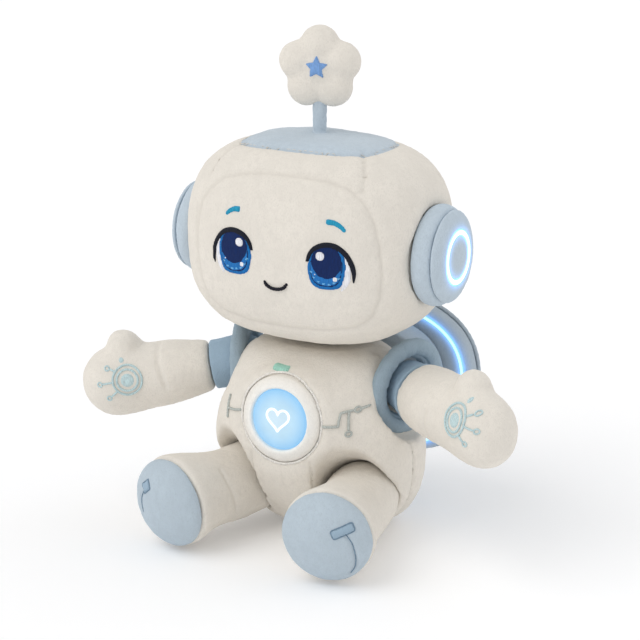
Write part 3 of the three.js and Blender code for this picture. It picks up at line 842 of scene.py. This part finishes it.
face_line = resample(closed_loop([(-47, 211), (-38, 218.5), (-24, 222.4), (-8, 224), (12, 224), (30, 223),
    (42.5, 219.5), (52, 212.5), (58.5, 202), (62, 188), (63.3, 172), (62, 157), (56.5, 145), (47, 138),
    (30, 134.6), (4, 133.2), (-22, 134), (-40, 137.3), (-49, 144), (-54, 156), (-56.3, 174), (-55.6, 192),
    (-52.5, 203.5)]), 0.8)
face_seam = on_head(face_line, FRONT, (0, 0, 0))
crown_line = superellipse(*CROWN["half"], CROWN["exponent"], 160)
crown_seam = on_head(closed_loop(crown_line), ABOVE, (0, 0, HEAD["centre"][2]))
angle = np.linspace(0, TAU, 260)
drawn = (1 - (BACK_SEAM_Y / HEAD["half"][1]) ** HEAD["plan"]) ** (1 / HEAD["plan"])
back_seam = upright(superellipse(HEAD["half"][0] * drawn, -HEAD["half"][2] * drawn, HEAD["plan"], angle),
    BACK_SEAM_Y, HEAD["centre"][2])
corner_seams = [head_surface(resample([(s * 40, -19, 61), (s * 47, -33, 50), (s * 50.5, -42, 40)], 0.8),
    0) for s in (1, -1)]
middle_back = head_surface(resample([(0, 31, 57), (0, 46, 42), (0, 57, 10), (0, 57, -20), (0, 46, -44),
    (0, 31, -57)], 0.8), 0)


def colour_crown(obj):
    """Blue inside the crown's outline and cream outside, by the distance to its edge."""
    points = points_of(obj)
    flat = points[:, :2]
    far = to_polyline(flat, crown_line, True)[0]
    signed = np.where(inside(flat, crown_line), far, -far)
    signed[points[:, 2] < HEAD["centre"][2] + 20] = -50
    mark(obj, "patch", signed)


def finish_head(obj):
    set_points(obj, seat_the_ears(points_of(obj)))
    colour_crown(obj)


def ear_seat(points):
    return np.hypot(points[:, 1], points[:, 2] - EAR_Z) < 30.5


stuff(head_cover, "head", cream_crown, ("head_gusset", "head_back", "face_panel", "crown_patch"),
    seams=(face_seam, crown_seam, back_seam, *corner_seams, middle_back), swell=1.5, still=ear_seat,
    after=finish_head, lump=0.55)

# ---- torso, with the seats of its neighbours cut in
torso_rows = spline(TORSO, 46)
rings = []
for z, half_width, front, back in torso_rows:
    flat = superellipse(half_width - 0.6, (back - front) / 2 - 0.6, TORSO_PLAN, 84)
    rings.append(columns(flat[:, 0], flat[:, 1] + (front + back) / 2, z))
torso_cover = make("torso_cover", *skin(rings))
points = points_of(torso_cover)
short = CHEST["level"] - out_along(points, *ON_CHEST)
level = np.exp(-(np.clip(off_axis(points, *ON_CHEST) - 27, 0, None) / 9) ** 2)
level *= np.clip((16 - np.abs(short)) / 6, 0, 1)
set_points(torso_cover, points + np.outer(level * short, CHEST_AXES[2]))
cutters = []
for n, s in SIDES:
    cutters.append(make("cut", *turned([(-1.5, 0.01), (-1.5, 29.6), (40, 29.6), (40, 0.01)], 48,
        *ON_RING[n])))
    cutters.append(make("cut", *turned(half_ball(17.4), 32, *ON_RING[n])))
    points, faces = turned([*half_ball(22.4)[:-1], (0, 22.4), (14, 22.5), (28, 23.1), (40, 24.4), (60, 28),
        (60, 0.01)], 40, *ON_LEG[n])
    from_hip = lowered(points, n) - HIP_AT[n]
    sweep = make("cut", HIP_AT[n] + from_hip, faces)
    for swing in (-15, -30):
        turn = np.array(Matrix.Rotation(math.radians(swing), 3, "X"))
        join(sweep, make("cut", HIP_AT[n] + from_hip @ turn.T, faces))
    remesh(sweep, 1.5, 1)
    cutters.append(sweep)
cutters.append(make("cut", *turned([(-9, 0.01), (-9, 25.7), (30, 25.7), (30, 0.01)], 64, *ON_CHEST)))
cut_away(torso_cover, cutters)
remesh(torso_cover, 2.4, 3)

side_seams = []
for s in (1, -1):
    line = np.array([(s * (w - 0.6), (f + b) / 2 - 4, z) for z, w, f, b in torso_rows])
    side_seams.append(resample(line[6:-2], 0.8))
belly_seams = [resample([(s * 19.5, -46.5, 55), (s * 20.5, -45, 44), (s * 19, -38, 30), (s * 14, -31, 19)],
    0.8) for s in (1, -1)]
torso_back_seam = resample([(0, (f + b) / 2 + (b - f) / 2, z) for z, w, f, b in torso_rows[3:-3]], 0.8)


def torso_still(points):
    """Where the neighbours sit against the torso, and the seat itself, the cover stays put."""
    held = points[:, 2] < 3.5
    for n, s in SIDES:
        held |= np.linalg.norm(points - HIP_AT[n], axis=1) < 31
        held |= (off_axis(points, *ON_RING[n]) < 31) & (out_along(points, *ON_RING[n]) > -6)
    held |= (off_axis(points, *ON_CHEST) < 27.3) & (out_along(points, *ON_CHEST) > -12)
    return held | (np.hypot(points[:, 0], points[:, 1]) < 20) & (points[:, 2] > 108)


stuff(torso_cover, "torso", cream, ("torso_front", "torso_back", "seat_panel"),
    seams=(*side_seams, *belly_seams, torso_back_seam), swell=1.2, still=torso_still)

# ---- chest surround and light
bezel_section = [(25.2, -8.6), (25.5, -5), (25.4, -2.9), (24.7, -1.9), (23.4, -1.1), (21.6, -0.3),
    (20.2, 0.35), (19.2, 0.35), (18.5, -0.3), (18.2, -1.6), (18.1, -4), (18.1, -8.6)]
chest_cover = make("chest_surround", *ring_skin(loop_spline(bezel_section, 44), 132, *ON_CHEST))


def lens_light(obj):
    """The lens lights the cover round it."""
    reach = off_axis(points_of(obj), *ON_CHEST)
    mark(obj, "lit", np.exp(-((reach - 17.5) / 7) ** 2))


stuff(chest_cover, "torso", lit_cream, ("chest_bezel",), swell=0.25, lump=0.14, after=lens_light,
    still=within(-1, *ON_CHEST))
lens_rows = spline([(-4, 0.5), (-4, 16.9), (-1.6, 17.6), (-0.7, 17.35), (-0.2, 16.7), (0.25, 14),
    (0.55, 9), (0.75, 4), (0.8, 0.5)], 60)
lens = make("chest_lens_dome", *turned(lens_rows, 96, *ON_CHEST))
reach = off_axis(points_of(lens), *ON_CHEST)
mark(lens, "edge", np.clip((reach - 7) / 10, 0, 1) ** 1.6)
dress(lens, "chest_light", lens_glow, "light", "chest_lens")
turn = np.linspace(0, TAU, 121)[:-1]
heart_line = columns(16 * np.sin(turn) ** 3,
    13 * np.cos(turn) - 5 * np.cos(2 * turn) - 2 * np.cos(3 * turn) - np.cos(4 * turn)) * 7.3 / 16 + (0,
    0.7)
on_lens = (surface_of(lens), *ON_CHEST, "chest_light")
heart = thread("heart_outline", [heart_line], on_lens, 0.68, heart_glow, closed=True, sink=0.25, pitch=1e6)
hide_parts("chest_heart")
heart_fill = patch("heart_fill", heart_line[::-1], on_lens, 0.25, heart_fill_glow, 0.1)

# ---- shoulders, sleeves and arms
ARM_SEAM = {"left": 14.6, "right": 19.2}
UPPER_ARM = {"left": 18.6, "right": 15.3}
UPPER_SLEEVE = {"left": [(2, 15.9), (6, 16.3), (10, 17.5)], "right": [(2, 15.9), (7, 15.7), (12, 15.2),
    (16, 15)]}
FOREARM = {"left": [(35, 20.6), (47, 20.5), (58, 20.7)], "right": [(35, 18.6), (47, 19.9), (58, 20.7)]}
for n, s in SIDES:
    around = np.linspace(0, TAU, 97)[:-1]
    start = SHOULDER_AT[n] - RING["behind"] * RING_AXES[n][2]
    section = loop_spline([(29.3, -1), (27.8, 1.6), (24, 2.9), (20.2, 2.3), (18, 0.6), (17.1, -1.6),
        (16.5, -4.2), (16.9, -6.2), (20, -6.4), (24, -6.2), (28, -4.6)], 44)
    ring = make(f"{n}_shoulder_ring_cover", *ring_skin(section, 110, start, RING_AXES[n]))
    inner = to_world(columns(19.3 * np.cos(around), 19.3 * np.sin(around), 0), start, RING_AXES[n])
    stuff(ring, "torso", ring_blue, seams=(inner,), swell=0.3, lump=0.35, wrinkle=(start, RING_AXES[n], 15,
        0.3))

    seam = ARM_SEAM[n]
    profile = spline([*half_ball(15.9)[:-1], *UPPER_SLEEVE[n], (seam - 1.1, UPPER_ARM[n] - 0.2),
        (seam - 0.4, UPPER_ARM[n] - 0.7), (seam - 0.2, UPPER_ARM[n] - 2)], 24)
    stuff(make(f"{n}_sleeve_cover", *turned(profile, 64, *ON_ARM[n])), f"{n}_arm", sleeve_blue, swell=0.2,
        lump=0.3, still=within(6, *ON_ARM[n]))

    profile = spline([(seam + 0.2, 0.5), (seam + 0.2, 9), (seam + 0.3, UPPER_ARM[n] - 1.7),
        (seam + 1, UPPER_ARM[n] - 0.1), (seam + 4.8, UPPER_ARM[n] + 1.1), *FOREARM[n], (69, 21.9),
        (80, 22), (89, 19.6), (96, 13.6), (99.6, 7), (100.6, 0.5)], 60)
    fore = make(f"{n}_forearm_cover", *turned(profile, 72, *ON_ARM[n],
        lambda d: 1 - (1 - HAND_FLATNESS) * ease(np.clip((d - 40) / 26, 0, 1))))
    across, up, along = ARM_AXES[n]
    lean = math.radians(18)
    thumb_axis = math.cos(lean) * up + math.sin(lean) * along
    sphere, sphere_faces = cube_sphere(14)
    thumb_axes = (across, np.cross(thumb_axis, across), thumb_axis)
    thumb = make("thumb", to_world(sphere * (11.4, 11.6, 14),
        SHOULDER_AT[n] + (67 if s > 0 else 70) * along + 18 * up, thumb_axes), sphere_faces)
    join(fore, thumb)
    remesh(fore, 2.1)
    crease = to_world(np.array([(-20.3 * math.cos(t) * 0.95, 20.2 * math.sin(t),
        48 + 1.5 * math.sin(2 * t)) for t in np.linspace(-0.2, 1.5, 50) * -s]) * (s, 1, 1), *ON_ARM[n])
    under = to_world(np.array([(0, -20, d) for d in np.arange(24, 84, 0.8)]), *ON_ARM[n])
    stuff(fore, f"{n}_arm", cream, seams=(under,), soft_seams=(crease,), swell=0.9, lump=0.45,
        still=within(seam + 2.3, *ON_ARM[n]))

# ---- legs and feet
FOOT_LINE = {"left": smooth_line([(14.6, 7.4), (17.4, 3), (18.8, -3), (18.9, -9), (17.6, -14),
    (15, -18.2)]), "right": smooth_line([(-9, 9.5), (-11.8, 5), (-12.8, 0), (-12.6, -6)])}
for n, s in SIDES:
    profile = spline([*half_ball(21.7)[:-1], (0, 21.7), (14, 21.8), (28, 22.3), (40, 23.5), (50, 25.6),
        (56, 27), (59.4, 27.2), (60.8, 26.4), (61.1, 23), (61.1, 0.5)], 58)
    points, faces = turned(profile, 78, *ON_LEG[n])
    leg = make(f"{n}_leg_cover", lowered(points, n), faces)
    under = to_world(np.array([(s * 12, -math.sqrt(23.5**2 - 144), d) for d in np.arange(6, 60, 0.8)]),
        *ON_LEG[n])
    under = lowered(under, n)
    fold = to_world(np.array([(24.2 * math.cos(t), 24.2 * math.sin(t),
        33 + 2.2 * math.sin(2.3 * t)) for t in np.linspace(-0.5, 0.75, 70) + (math.pi if s > 0 else 0)]),
        *ON_LEG[n])
    stuff(leg, f"{n}_leg", cream, seams=(under,), soft_seams=(fold,), swell=0.8, still=lambda p,
        n=n: (out_along(p, *ON_LEG[n]) < 4) | (out_along(p, *ON_LEG[n]) > 58.8))
    profile = spline([(61.3, 0.5), (61.3, 22), (61.5, 25.7), (62.6, 26.6), (65.2, 26), (68.3, 23.7),
        (71.2, 20.2), (73.7, 15.6), (75.6, 10.2), (76.7, 4.8), (76.9, 0.5)], 44)
    foot = make(f"{n}_foot_cover", *turned(profile, 84, *ON_LEG[n]))
    stitched = to_world([(u, v, np.interp(math.hypot(u, v), [0, 4.8, 10.2, 15.6, 20.2, 23.7],
        [76.9, 76.7, 75.6, 73.7, 71.2, 68.3])) for u, v in FOOT_LINE[n]], *ON_LEG[n])
    stuff(foot, f"{n}_leg", foot_blue, (f"{n}_foot_pad",), soft_seams=(stitched,), swell=0.7, lump=0.55,
        still=within(62.6, *ON_LEG[n]))

# ---- ears
for n, s in SIDES:
    ear_axes = axes_along((s, 0, 0))
    ear_at = np.array((0, 0, EAR_Z))
    band_section = [(14.5, 72.2), (24, 72), (27, 72.3), (28.4, 73.6), (29.2, 76.2), (29, 79), (28.1, 81.3),
        (26.6, 82.9), (24.4, 83.6), (14.5, 83.8)]
    stuff(make(f"{n}_ear_band_cover", *ring_skin(loop_spline(band_section, 40), 120, ear_at, ear_axes)),
        "head", ear_blue, swell=0.3, lump=0.25, still=within(73.2, ear_at, ear_axes))
    cap_profile = [(83.9, 0.5), (83.9, 13), (83.8, 24.2), (84.2, 26.2), (85.1, 26.6), (86.5, 25.3),
        (87.9, 22.8), (88.8, 20), (89.4, 17.9), (89.3, 16.7), (88.4, 16.1), (87.8, 15.7), (87.8, 12.8),
        (88.4, 12.4), (89.3, 11.8), (89.6, 9.4), (89.8, 5), (89.9, 0.5)]
    cap = make(f"{n}_ear_cap_cover", *turned(spline(cap_profile, 74), 112, ear_at, ear_axes))

    def halo(obj, frame_axes=ear_axes):
        reach = off_axis(points_of(obj), ear_at, frame_axes)
        mark(obj, "lit", 0.85 * np.exp(-(np.clip(np.abs(reach - 14.2) - 1.2, 0, None) / 2.6) ** 1.5))

    stuff(cap, "head", ear_blue, swell=0.3, lump=0.25, after=halo, still=lambda p, a=ear_axes: (off_axis(p,
        ear_at, a) < 18.5) & (off_axis(p, ear_at, a) > 10.5) | (out_along(p, ear_at, a) < 84.3))
    light_section = [(12.7, 87.4), (15.8, 87.4), (15.85, 88.9), (15.3, 89.5), (14.2, 89.8), (13.2, 89.5),
        (12.65, 88.9)]
    light = make(f"{n}_ear_ring_light", *ring_skin(loop_spline(light_section, 24), 144, ear_at, ear_axes))
    reach = off_axis(points_of(light), ear_at, ear_axes)
    mark(light, "edge", np.clip((np.abs(reach - 14.25) - 0.8) / 0.9, 0, 1))
    dress(light, "head", ring_glow, "light", f"{n}_ear_light")

# ---- antenna
stem_profile = spline([(231.6, 0.5), (232.4, 2.8), (235.8, 4.6), (238.5, 4.9), (240.5, 3.9), (243, 4.1),
    (250, 4.2), (257, 4.2), (259.2, 3), (260, 0.5)], 40)
stuff(make("antenna_stem_cover", *turned(stem_profile, 32)), "antenna", blue, swell=0.12, lump=0.15,
    seams=(np.array([(0, 4.3, z) for z in np.arange(241, 257, 0.5)]),), still=lambda p: p[:, 2] > 240)
spin = math.radians(ANTENNA["turn"])
flower_axes = ((math.cos(spin), math.sin(spin), 0), (0, 0, 1), (math.sin(spin), -math.cos(spin), 0))
flower_at = np.array((0, 0, ANTENNA["flower"]))
sphere, sphere_faces = cube_sphere(12)
flower = make("antenna_flower_cover", to_world(sphere * (12.6, 12.6, 9.6), flower_at, flower_axes),
    sphere_faces)
for i in range(5):
    t = i / 5 * TAU
    place = flower_at + to_world([(12.9 * math.sin(t), 12.9 * math.cos(t), 0)], (0, 0, 0), flower_axes)[0]
    join(flower, make("lobe", to_world(sphere * (11.9, 11.9, 8.9), place, flower_axes), sphere_faces))
remesh(flower, 1.7)


def flower_still(points):
    """Near the notches between lobes, the cover is gathered."""
    local = to_local(points, flower_at, flower_axes)
    turn = np.arctan2(local[:, 0], local[:, 1])
    notch = np.abs((turn / TAU * 5) % 1 - 0.5) < 0.07
    return notch & (np.hypot(local[:, 0], local[:, 1]) > 12)


def flower_edge(obj):
    """A fine sewn edge runs round between the front and the back of the flower."""
    points, normals = points_of(obj), normals_of(obj)
    local = to_local(points, flower_at, flower_axes)
    rim = np.exp(-(local[:, 2] / 0.8) ** 2) * (np.hypot(local[:, 0], local[:, 1]) > 14)
    set_points(obj, points - 0.7 * rim[:, None] * normals)


stuff(flower, "antenna", cream, swell=1, lump=0.35, still=flower_still, after=flower_edge)

# ---- back pack
def pack_ring(y, inset, count=120):
    half_x, half_z = PACK["half"]
    return upright(superellipse(half_x - inset, half_z - inset, PACK["plan"], count), y, PACK["z"])


def frame_skin(rows, opening, opening_y, count=120):
    """A skin over rings that has a rounded opening at one end instead of a middle."""
    flat = superellipse(*opening, BATTERY["corner"], count)
    hole = upright(flat, opening_y[0], BATTERY["z"])
    deep = hole + np.array((0, opening_y[1] - opening_y[0], 0))
    rings = [pack_ring(y, inset, count) for y, inset in rows]
    last = rings[-1]
    for share in np.linspace(0, 1, 12)[1:-1]:
        rings.append(last + share * (hole - last))
    return skin([*rings, hole, deep])


rim_rows = spline([(61.2, 52), (61, 30), (61, 12), (61, 9), (61.3, 8), (62.2, 7.4), (62.4, 6.3),
    (62.2, 5.2), (61.3, 4.6), (61.1, 3.4), (61.9, 1.9), (63.6, 0.7), (67, 0.15), (70, 0.5), (71.3, 1.7),
    (71.5, 4), (71.5, 30), (71.5, 50)], 72)
rim = make("pack_rim_cover", *skin([pack_ring(y, inset, 144) for y, inset in rim_rows]))


def strip_halo(obj):
    """The strip's light spreads over the pile beside it."""
    points = points_of(obj)
    far = near(points, pack_ring(STRIP["y"], STRIP["inset"], 300))[0]
    mark(obj, "lit", 0.8 * np.exp(-(np.clip(far - 1.1, 0, None) / 2.6) ** 1.4))


stuff(rim, "torso", pack_blue, swell=0.35, lump=0.4, after=strip_halo, still=lambda p: (p[:,
    1] < 62.6) | (p[:, 1] > 71))
shell_rows = spline([(72, 8), (72, 3), (72.5, 1.5), (74, 0.9), (77, 1.7), (80, 3.4), (83.4, 6.6),
    (86, 10.4), (88.4, 15), (90, 20), (90.4, 23)], 26)
shell = make("pack_shell_cover", *frame_skin(shell_rows, BATTERY["half"], (90, 75)))
opening = superellipse(*BATTERY["half"], BATTERY["corner"], angle) * (1.14, 1.18)
opening = upright(opening, 89.4, BATTERY["z"])
stuff(shell, "torso", pack_blue, swell=1.1, seams=(opening,), still=lambda p: (p[:, 1] < 73) | (np.abs(p[:,
    0]) < 33) & (np.abs(p[:, 2] - 80) < 25))


def pack_tube(name, line, radius, sides, look, *named):
    """A tube along a closed line on the pack."""
    dress(make(name, *tube_points(line, radius, sides, True, (0, 1, 0.01))), "torso", look, *named)


pack_tube("pack_piping", pack_ring(71.7, -0.1, 260), 1.15 + 0.08 * np.sin(np.arange(260) * 1.9), 12,
    pack_blue, "blue_plush")
hole_line = upright(superellipse(31, 23, BATTERY["corner"], angle), 90.2, BATTERY["z"])[:-1]
pack_tube("battery_opening_piping", resample(hole_line, 0.9), 0.8, 10, pack_blue, "blue_plush")
plinth_outline = superellipse(54.6, 39.6, PACK["plan"], 96)
plinth_rings = [upright(plinth_outline, y, PACK["z"]) for y in np.linspace(34, 60.6, 10)]
stuff(make("pack_plinth_cover", *skin(plinth_rings)), "torso", pack_blue, swell=0.3, lump=0.4)
pack_tube("pack_strip_light", pack_ring(STRIP["y"], STRIP["inset"], 300), 0.78, 12, strip_glow, "light",
    "pack_light_strip")

# ---- stuffing, sewing and pile
blow_up()
finish_covers()

# ---- the face
head_tree = surface_of(head_cover)
on_face = (head_tree, (0, -40, 0), FRONT, "head")


def feature(name, outline, at, look, thickness=0.5, base=0.12, flip=1):
    shape = np.array(outline, float) * (flip, 1)
    shape = shape if flip > 0 else shape[::-1]
    patch(name, shape, (head_tree, (at[0], -40, at[1]), FRONT, "head"), thickness, look, base)


IRIS = smooth_loop([(-11.2, 1), (-10.8, -4), (-9.2, -9), (-5.4, -11.7), (1, -12.4), (6.6, -11.3),
    (9, -8.6), (10.9, -3), (11.4, 3), (9.9, 9), (6.5, 12.3), (1.5, 13.4), (-4, 12.3), (-8.6, 8.4)])
INNER = smooth_loop([(-9.9, 1.5), (-9.5, -3.6), (-7.9, -7.8), (-4.6, -10.2), (0.8, -10.9), (5.4, -9.9),
    (7.8, -7.2), (9.4, -2.4), (9.8, 3), (8.7, 8.2), (6, 12.2), (1.5, 13.2), (-4, 12.2), (-8.2, 8.2)])
LOWER = [(-9.7, 4), (-9.2, -3.4), (-7.7, -7.4), (-4.5, -9.8), (0.8, -10.5), (5.2, -9.5), (7.5, -7),
    (9.1, -2.4), (9.6, 4.2), (8.5, 4.4), (7.4, 0.2), (4.7, -3.6), (0.7, -5), (-3.8, -3.8), (-6.8, 0.2),
    (-8.1, 4.2)]
WHITE = smooth_loop([(9.6, 10), (12.4, 6), (13.9, 0), (13.6, -5.5), (11.4, -10.2), (7.6, -13), (8.8, -6),
    (9.8, 2)])
LASH = smooth_line([(-12.2, 3.2), (-10.9, 8), (-7.4, 12.2), (-2.2, 14.6), (3.2, 14.8), (8.4, 12.9),
    (12.7, 8.7), (15.6, 3), (16.2, -2.2), (15.2, -7.2), (14.4, -6.9), (13.9, -2), (12.6, 2.8), (10.2, 7),
    (6.4, 10.2), (1.4, 11.6), (-4, 10.6), (-7.8, 7.8), (-10.6, 3)])
for n, s, at in (("left", 1, (33.8, 174.7)), ("right", -1, (-24.4, 176.9))):
    feature(f"{n}_eye_white", WHITE, at, "white", 0.35, 0.10, s)
    feature(f"{n}_eye_rim", IRIS, at, "rim", 0.5, 0.16, s)
    feature(f"{n}_eye_iris", INNER, at, "navy", 0.5, 0.34, s)
    feature(f"{n}_eye_lower", LOWER, at, "iris", 0.42, 0.5, s)
    for k, (u, v) in enumerate(((-8.3, -2.2), (-6.9, -5.2), (-4.4, -7.6), (-1.4, -8.6), (1.7, -8.8),
            (4.6, -7.6), (7, -4.9))):
        feature(f"{n}_eye_fleck_{k}", rotated(rounded_rectangle((0, 0), 1.35, 1.05, 0.4, 3),
            40 * u / 8) + (u, v), at, "sky", 0.2, 0.82, s)
    feature(f"{n}_eye_lash", LASH, at, "lash", 0.5, 0.62, s)
    feature(f"{n}_eye_highlight", circle(-3.4 * s, 7, 2.8), at, "white", 0.4, 1)
    feature(f"{n}_eye_glint", circle(5.2, -5.6, 1.7, 16), at, "white", 0.3, 1)
    feature(f"{n}_eye_spark", circle(-6.2, -3.4, 0.9, 12), at, "white", 0.25, 1)
brows = {"right": ([(-31.2, 198.4), (-28.6, 200.8), (-25.2, 202.2), (-21.2, 202.4)], (0.7, 1)),
    "left": ([(32.6, 201), (36.6, 200.8), (40.6, 199.2), (44.2, 196)], (1, 0.7))}
for n, (line, (first, last)) in brows.items():
    path = smooth_line(line)
    along = np.linspace(0, 1, len(path))
    half = 1.9 * (first + (last - first) * along) * np.sqrt(np.clip(np.minimum(along,
        1 - along) * 9 + 0.25, 0, 1))
    step = np.gradient(path, axis=0)
    side = columns(-step[:, 1], step[:, 0]) / np.linalg.norm(step, axis=1)[:, None]
    outline = np.vstack([path + side * half[:, None], (path - side * half[:, None])[::-1]])
    patch(f"{n}_brow", outline, on_face, 0.55, "teal", 0.15)
smile = smooth_line([(-4.6, 162.7), (-3, 160.9), (-0.6, 159.7), (2.3, 159.3), (5.2, 159.7), (7.5, 160.8),
    (9, 162.6)])
thread("smile", [smile], on_face, 1, "mouth")
for k, (u, v) in enumerate(((-4.7, 162.8), (9.1, 162.7))):
    patch(f"smile_end_{k}", circle(u, v, 1.15, 14), on_face, 0.45, "mouth", 0.2)


# ---- running stitches in the seams
def stitches(name, lines, obj, body):
    """Short stitches along curves, laid in the groove of the seam, as one piece."""
    tree = surface_of(obj)
    tubes = []
    step, radius = 0.4, 0.2
    long, every = round(2.2 / step) + 1, round(3.6 / step)
    for line in lines:
        line = resample(line, step)
        for start in range(0, len(line) - every, every):
            dash = line[start:start + long]
            placed, normal = [], None
            for at in dash:
                hit, normal, _, _ = tree.find_nearest(Vector(at))
                placed.append(np.array(hit) - 0.04 * np.array(normal))
            if np.linalg.norm(np.diff(placed, axis=0), axis=1).min() < 0.1:
                continue
            width = radius * np.sqrt(np.clip(np.minimum(np.arange(len(dash)),
                np.arange(len(dash))[::-1]) / 1.4 + 0.2, 0, 1))
            tubes.append(tube_points(placed, width, 6, False, normal))
    dress(make(name, *merged(tubes)), body, "seam")


stitches("head_seam_stitches", [crown_seam, back_seam, *corner_seams, middle_back], head_cover, "head")
stitches("torso_seam_stitches", [*side_seams, *belly_seams, torso_back_seam], torso_cover, "torso")

# ---- the chest embroidery
torso_tree = surface_of(torso_cover)
on_front = (torso_tree, (0, -30, 0), FRONT, "torso")
thread("circuit_left", [[(27, 78.7), (35, 78.9), (35.2, 86.2), (41, 87.2)], [(43.6, 87.8), (47.4, 89.2)],
    [(38.6, 86.6), (40, 76.3)]], on_front, 0.78, "circuit", sink=0.2)
thread("circuit_left_dots", [circle(42.3, 87.4, 1.4, 16), circle(40.2, 74.4, 1.4, 16)], on_front, 0.62,
    "circuit", closed=True, sink=0.2)
thread("circuit_right", [[(-27, 80.5), (-40.6, 76.8)], [(-41.2, 84.2), (-40.9, 78), (-39.9, 71.4)]],
    on_front, 0.78, "circuit", sink=0.2)
thread("chest_piping", [circle(0, 0, 26.7, 120)], (torso_tree, *ON_CHEST, "torso"), 0.75, "piping",
    closed=True, pitch=2.4)
patch("chest_tag", rounded_rectangle((-4.7, 106.9), 5.7, 1.35, 1.25), on_front, 0.8, "mint", 0.6)
patch("chest_tag_stem", rounded_rectangle((-4.4, 105.3), 0.9, 0.7, 0.4, 3), on_front, 0.5, "mint", 0.1, 0.5)

# ---- the palms
PALMS = {"left": ((76.2, 7.4), [[(8.2, 4.4), (11.6, 6.4)], [(9.2, -0.6), (15, -1.6)],
    [(6.6, -6.4), (9.8, -9.2)]], [(3.4, 11.6), (13.2, 7.3), (16.6, -1.7), (11, -10.2)]),
    "right": ((69.7, 4.2), [[(-6.8, 6.2), (-9.6, 8.2)], [(-9.4, 0.2), (-15.6, -0.2)],
    [(-7.4, -5.8), (-11.6, -8.6)]], [(-2, 11.8), (-11.2, 8.6), (-17.2, -0.3), (-13, -9.4)])}
for n, s in SIDES:
    (distance, rise), lines, dots = PALMS[n]
    across, up, along = ARM_AXES[n]
    tree = surface_of(bpy.data.objects[f"{n}_forearm_cover"])
    palm = (tree, SHOULDER_AT[n] + distance * along + rise * up, (np.cross(up, -s * across), up,
        -s * across), f"{n}_arm")
    patch(f"{n}_palm_disc", circle(0, 0, 4.4, 30), palm, 0.35, "palm", 0.1)
    thread(f"{n}_palm_rings", [circle(0, 0, 6.4, 40), circle(0, 0, 8.9, 52)], palm, 0.68, "palm",
        closed=True)
    thread(f"{n}_palm_lines", lines, palm, 0.6, "palm")
    patch(f"{n}_palm_dot", circle(*dots[0], 1.7, 16), palm, 0.4, "palm", 0.1, 0.6)
    thread(f"{n}_palm_dots", [circle(u, v, 1.35, 16) for u, v in dots[1:]], palm, 0.5, "palm", closed=True)

# ---- the foot tabs
for n, s in SIDES:
    sole = (surface_of(bpy.data.objects[f"{n}_foot_cover"]), HIP_AT[n] + 50 * LEG_AXES[n][2], LEG_AXES[n],
        f"{n}_leg")
    if s > 0:
        tab = rotated(rounded_rectangle((0, 0), 6.2, 2.6, 1.3, 5), 24) + (12.6, 9.8)
    else:
        tab = rotated(rounded_rectangle((0, 0), 3.3, 3, 0.7, 4), 40) + (-7, 12.2)
    patch(f"{n}_foot_tab", tab, sole, 0.7, sleeve_blue, 0.15)
    thread(f"{n}_foot_tab_stitch", [tab], sole, 0.36, "blue_seam", closed=True, pitch=1.9)
    thread(f"{n}_foot_seam_stitch", [FOOT_LINE[n]], sole, 0.32, "blue_seam", pitch=1.9)

# ---- the star
turn = once_round(10)
reach = np.where(np.arange(10) % 2, 3.7, 7.4)
star = columns(reach * np.sin(turn), reach * np.cos(turn))[::-1] + (0, 1.2)
star_piece = patch("star_embroidery_patch", star, (surface_of(flower), flower_at, flower_axes, "antenna"),
    0.9, "star", 0.2, 0.7)
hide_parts("antenna_star")

# ---- floor, light and camera
bpy.ops.mesh.primitive_plane_add(size=60, location=(0, 0, -0.0006))
floor = bpy.context.object
floor.name = "floor"
paper = Look("paper")
paper.surface(Base_Color=paper.between(paper.field(400, 3), (0.925, 0.925, 0.93), (0.945, 0.945, 0.95),
    0.3, 0.7), Roughness=0.9, Specular_IOR_Level=0.1, Emission_Color=(1, 1, 1), Emission_Strength=0.1)
floor.data.materials.append(paper.made)

world = bpy.data.worlds.new("studio")
bpy.context.scene.world = world
world.use_nodes = True
world.node_tree.nodes["Background"].inputs["Color"].default_value = (0.985, 0.99, 1, 1)
world.node_tree.nodes["Background"].inputs["Strength"].default_value = 0.70
TARGET = Vector((0, 0, 0.127))


def sun(name, place, strength, spread, colour=(1, 1, 1)):
    data = bpy.data.lights.new(name, "SUN")
    data.energy, data.angle, data.color = strength, math.radians(spread), colour
    lamp = bpy.data.objects.new(name, data)
    bpy.context.collection.objects.link(lamp)
    lamp.location = place
    lamp.rotation_euler = (TARGET - Vector(place)).to_track_quat("-Z", "Y").to_euler()


sun("key", (-0.7, -1, 1.6), 0.95, 50, (1, 0.985, 0.96))
sun("rim", (0.9, 0.9, 1.2), 0.35, 60)

azimuth, elevation, distance = math.radians(29), math.radians(16), 1.154
camera_data = bpy.data.cameras.new("camera")
camera_data.sensor_width, camera_data.lens = 36, 109.7
camera = bpy.data.objects.new("camera", camera_data)
bpy.context.collection.objects.link(camera)
toward = Vector((math.sin(azimuth) * math.cos(elevation), -math.cos(azimuth) * math.cos(elevation),
    math.sin(elevation)))
camera.location = TARGET + distance * toward
camera.rotation_euler = (-toward).to_track_quat("-Z", "Y").to_euler()
bpy.context.scene.camera = camera
bpy.context.scene.view_settings.view_transform = "Standard"
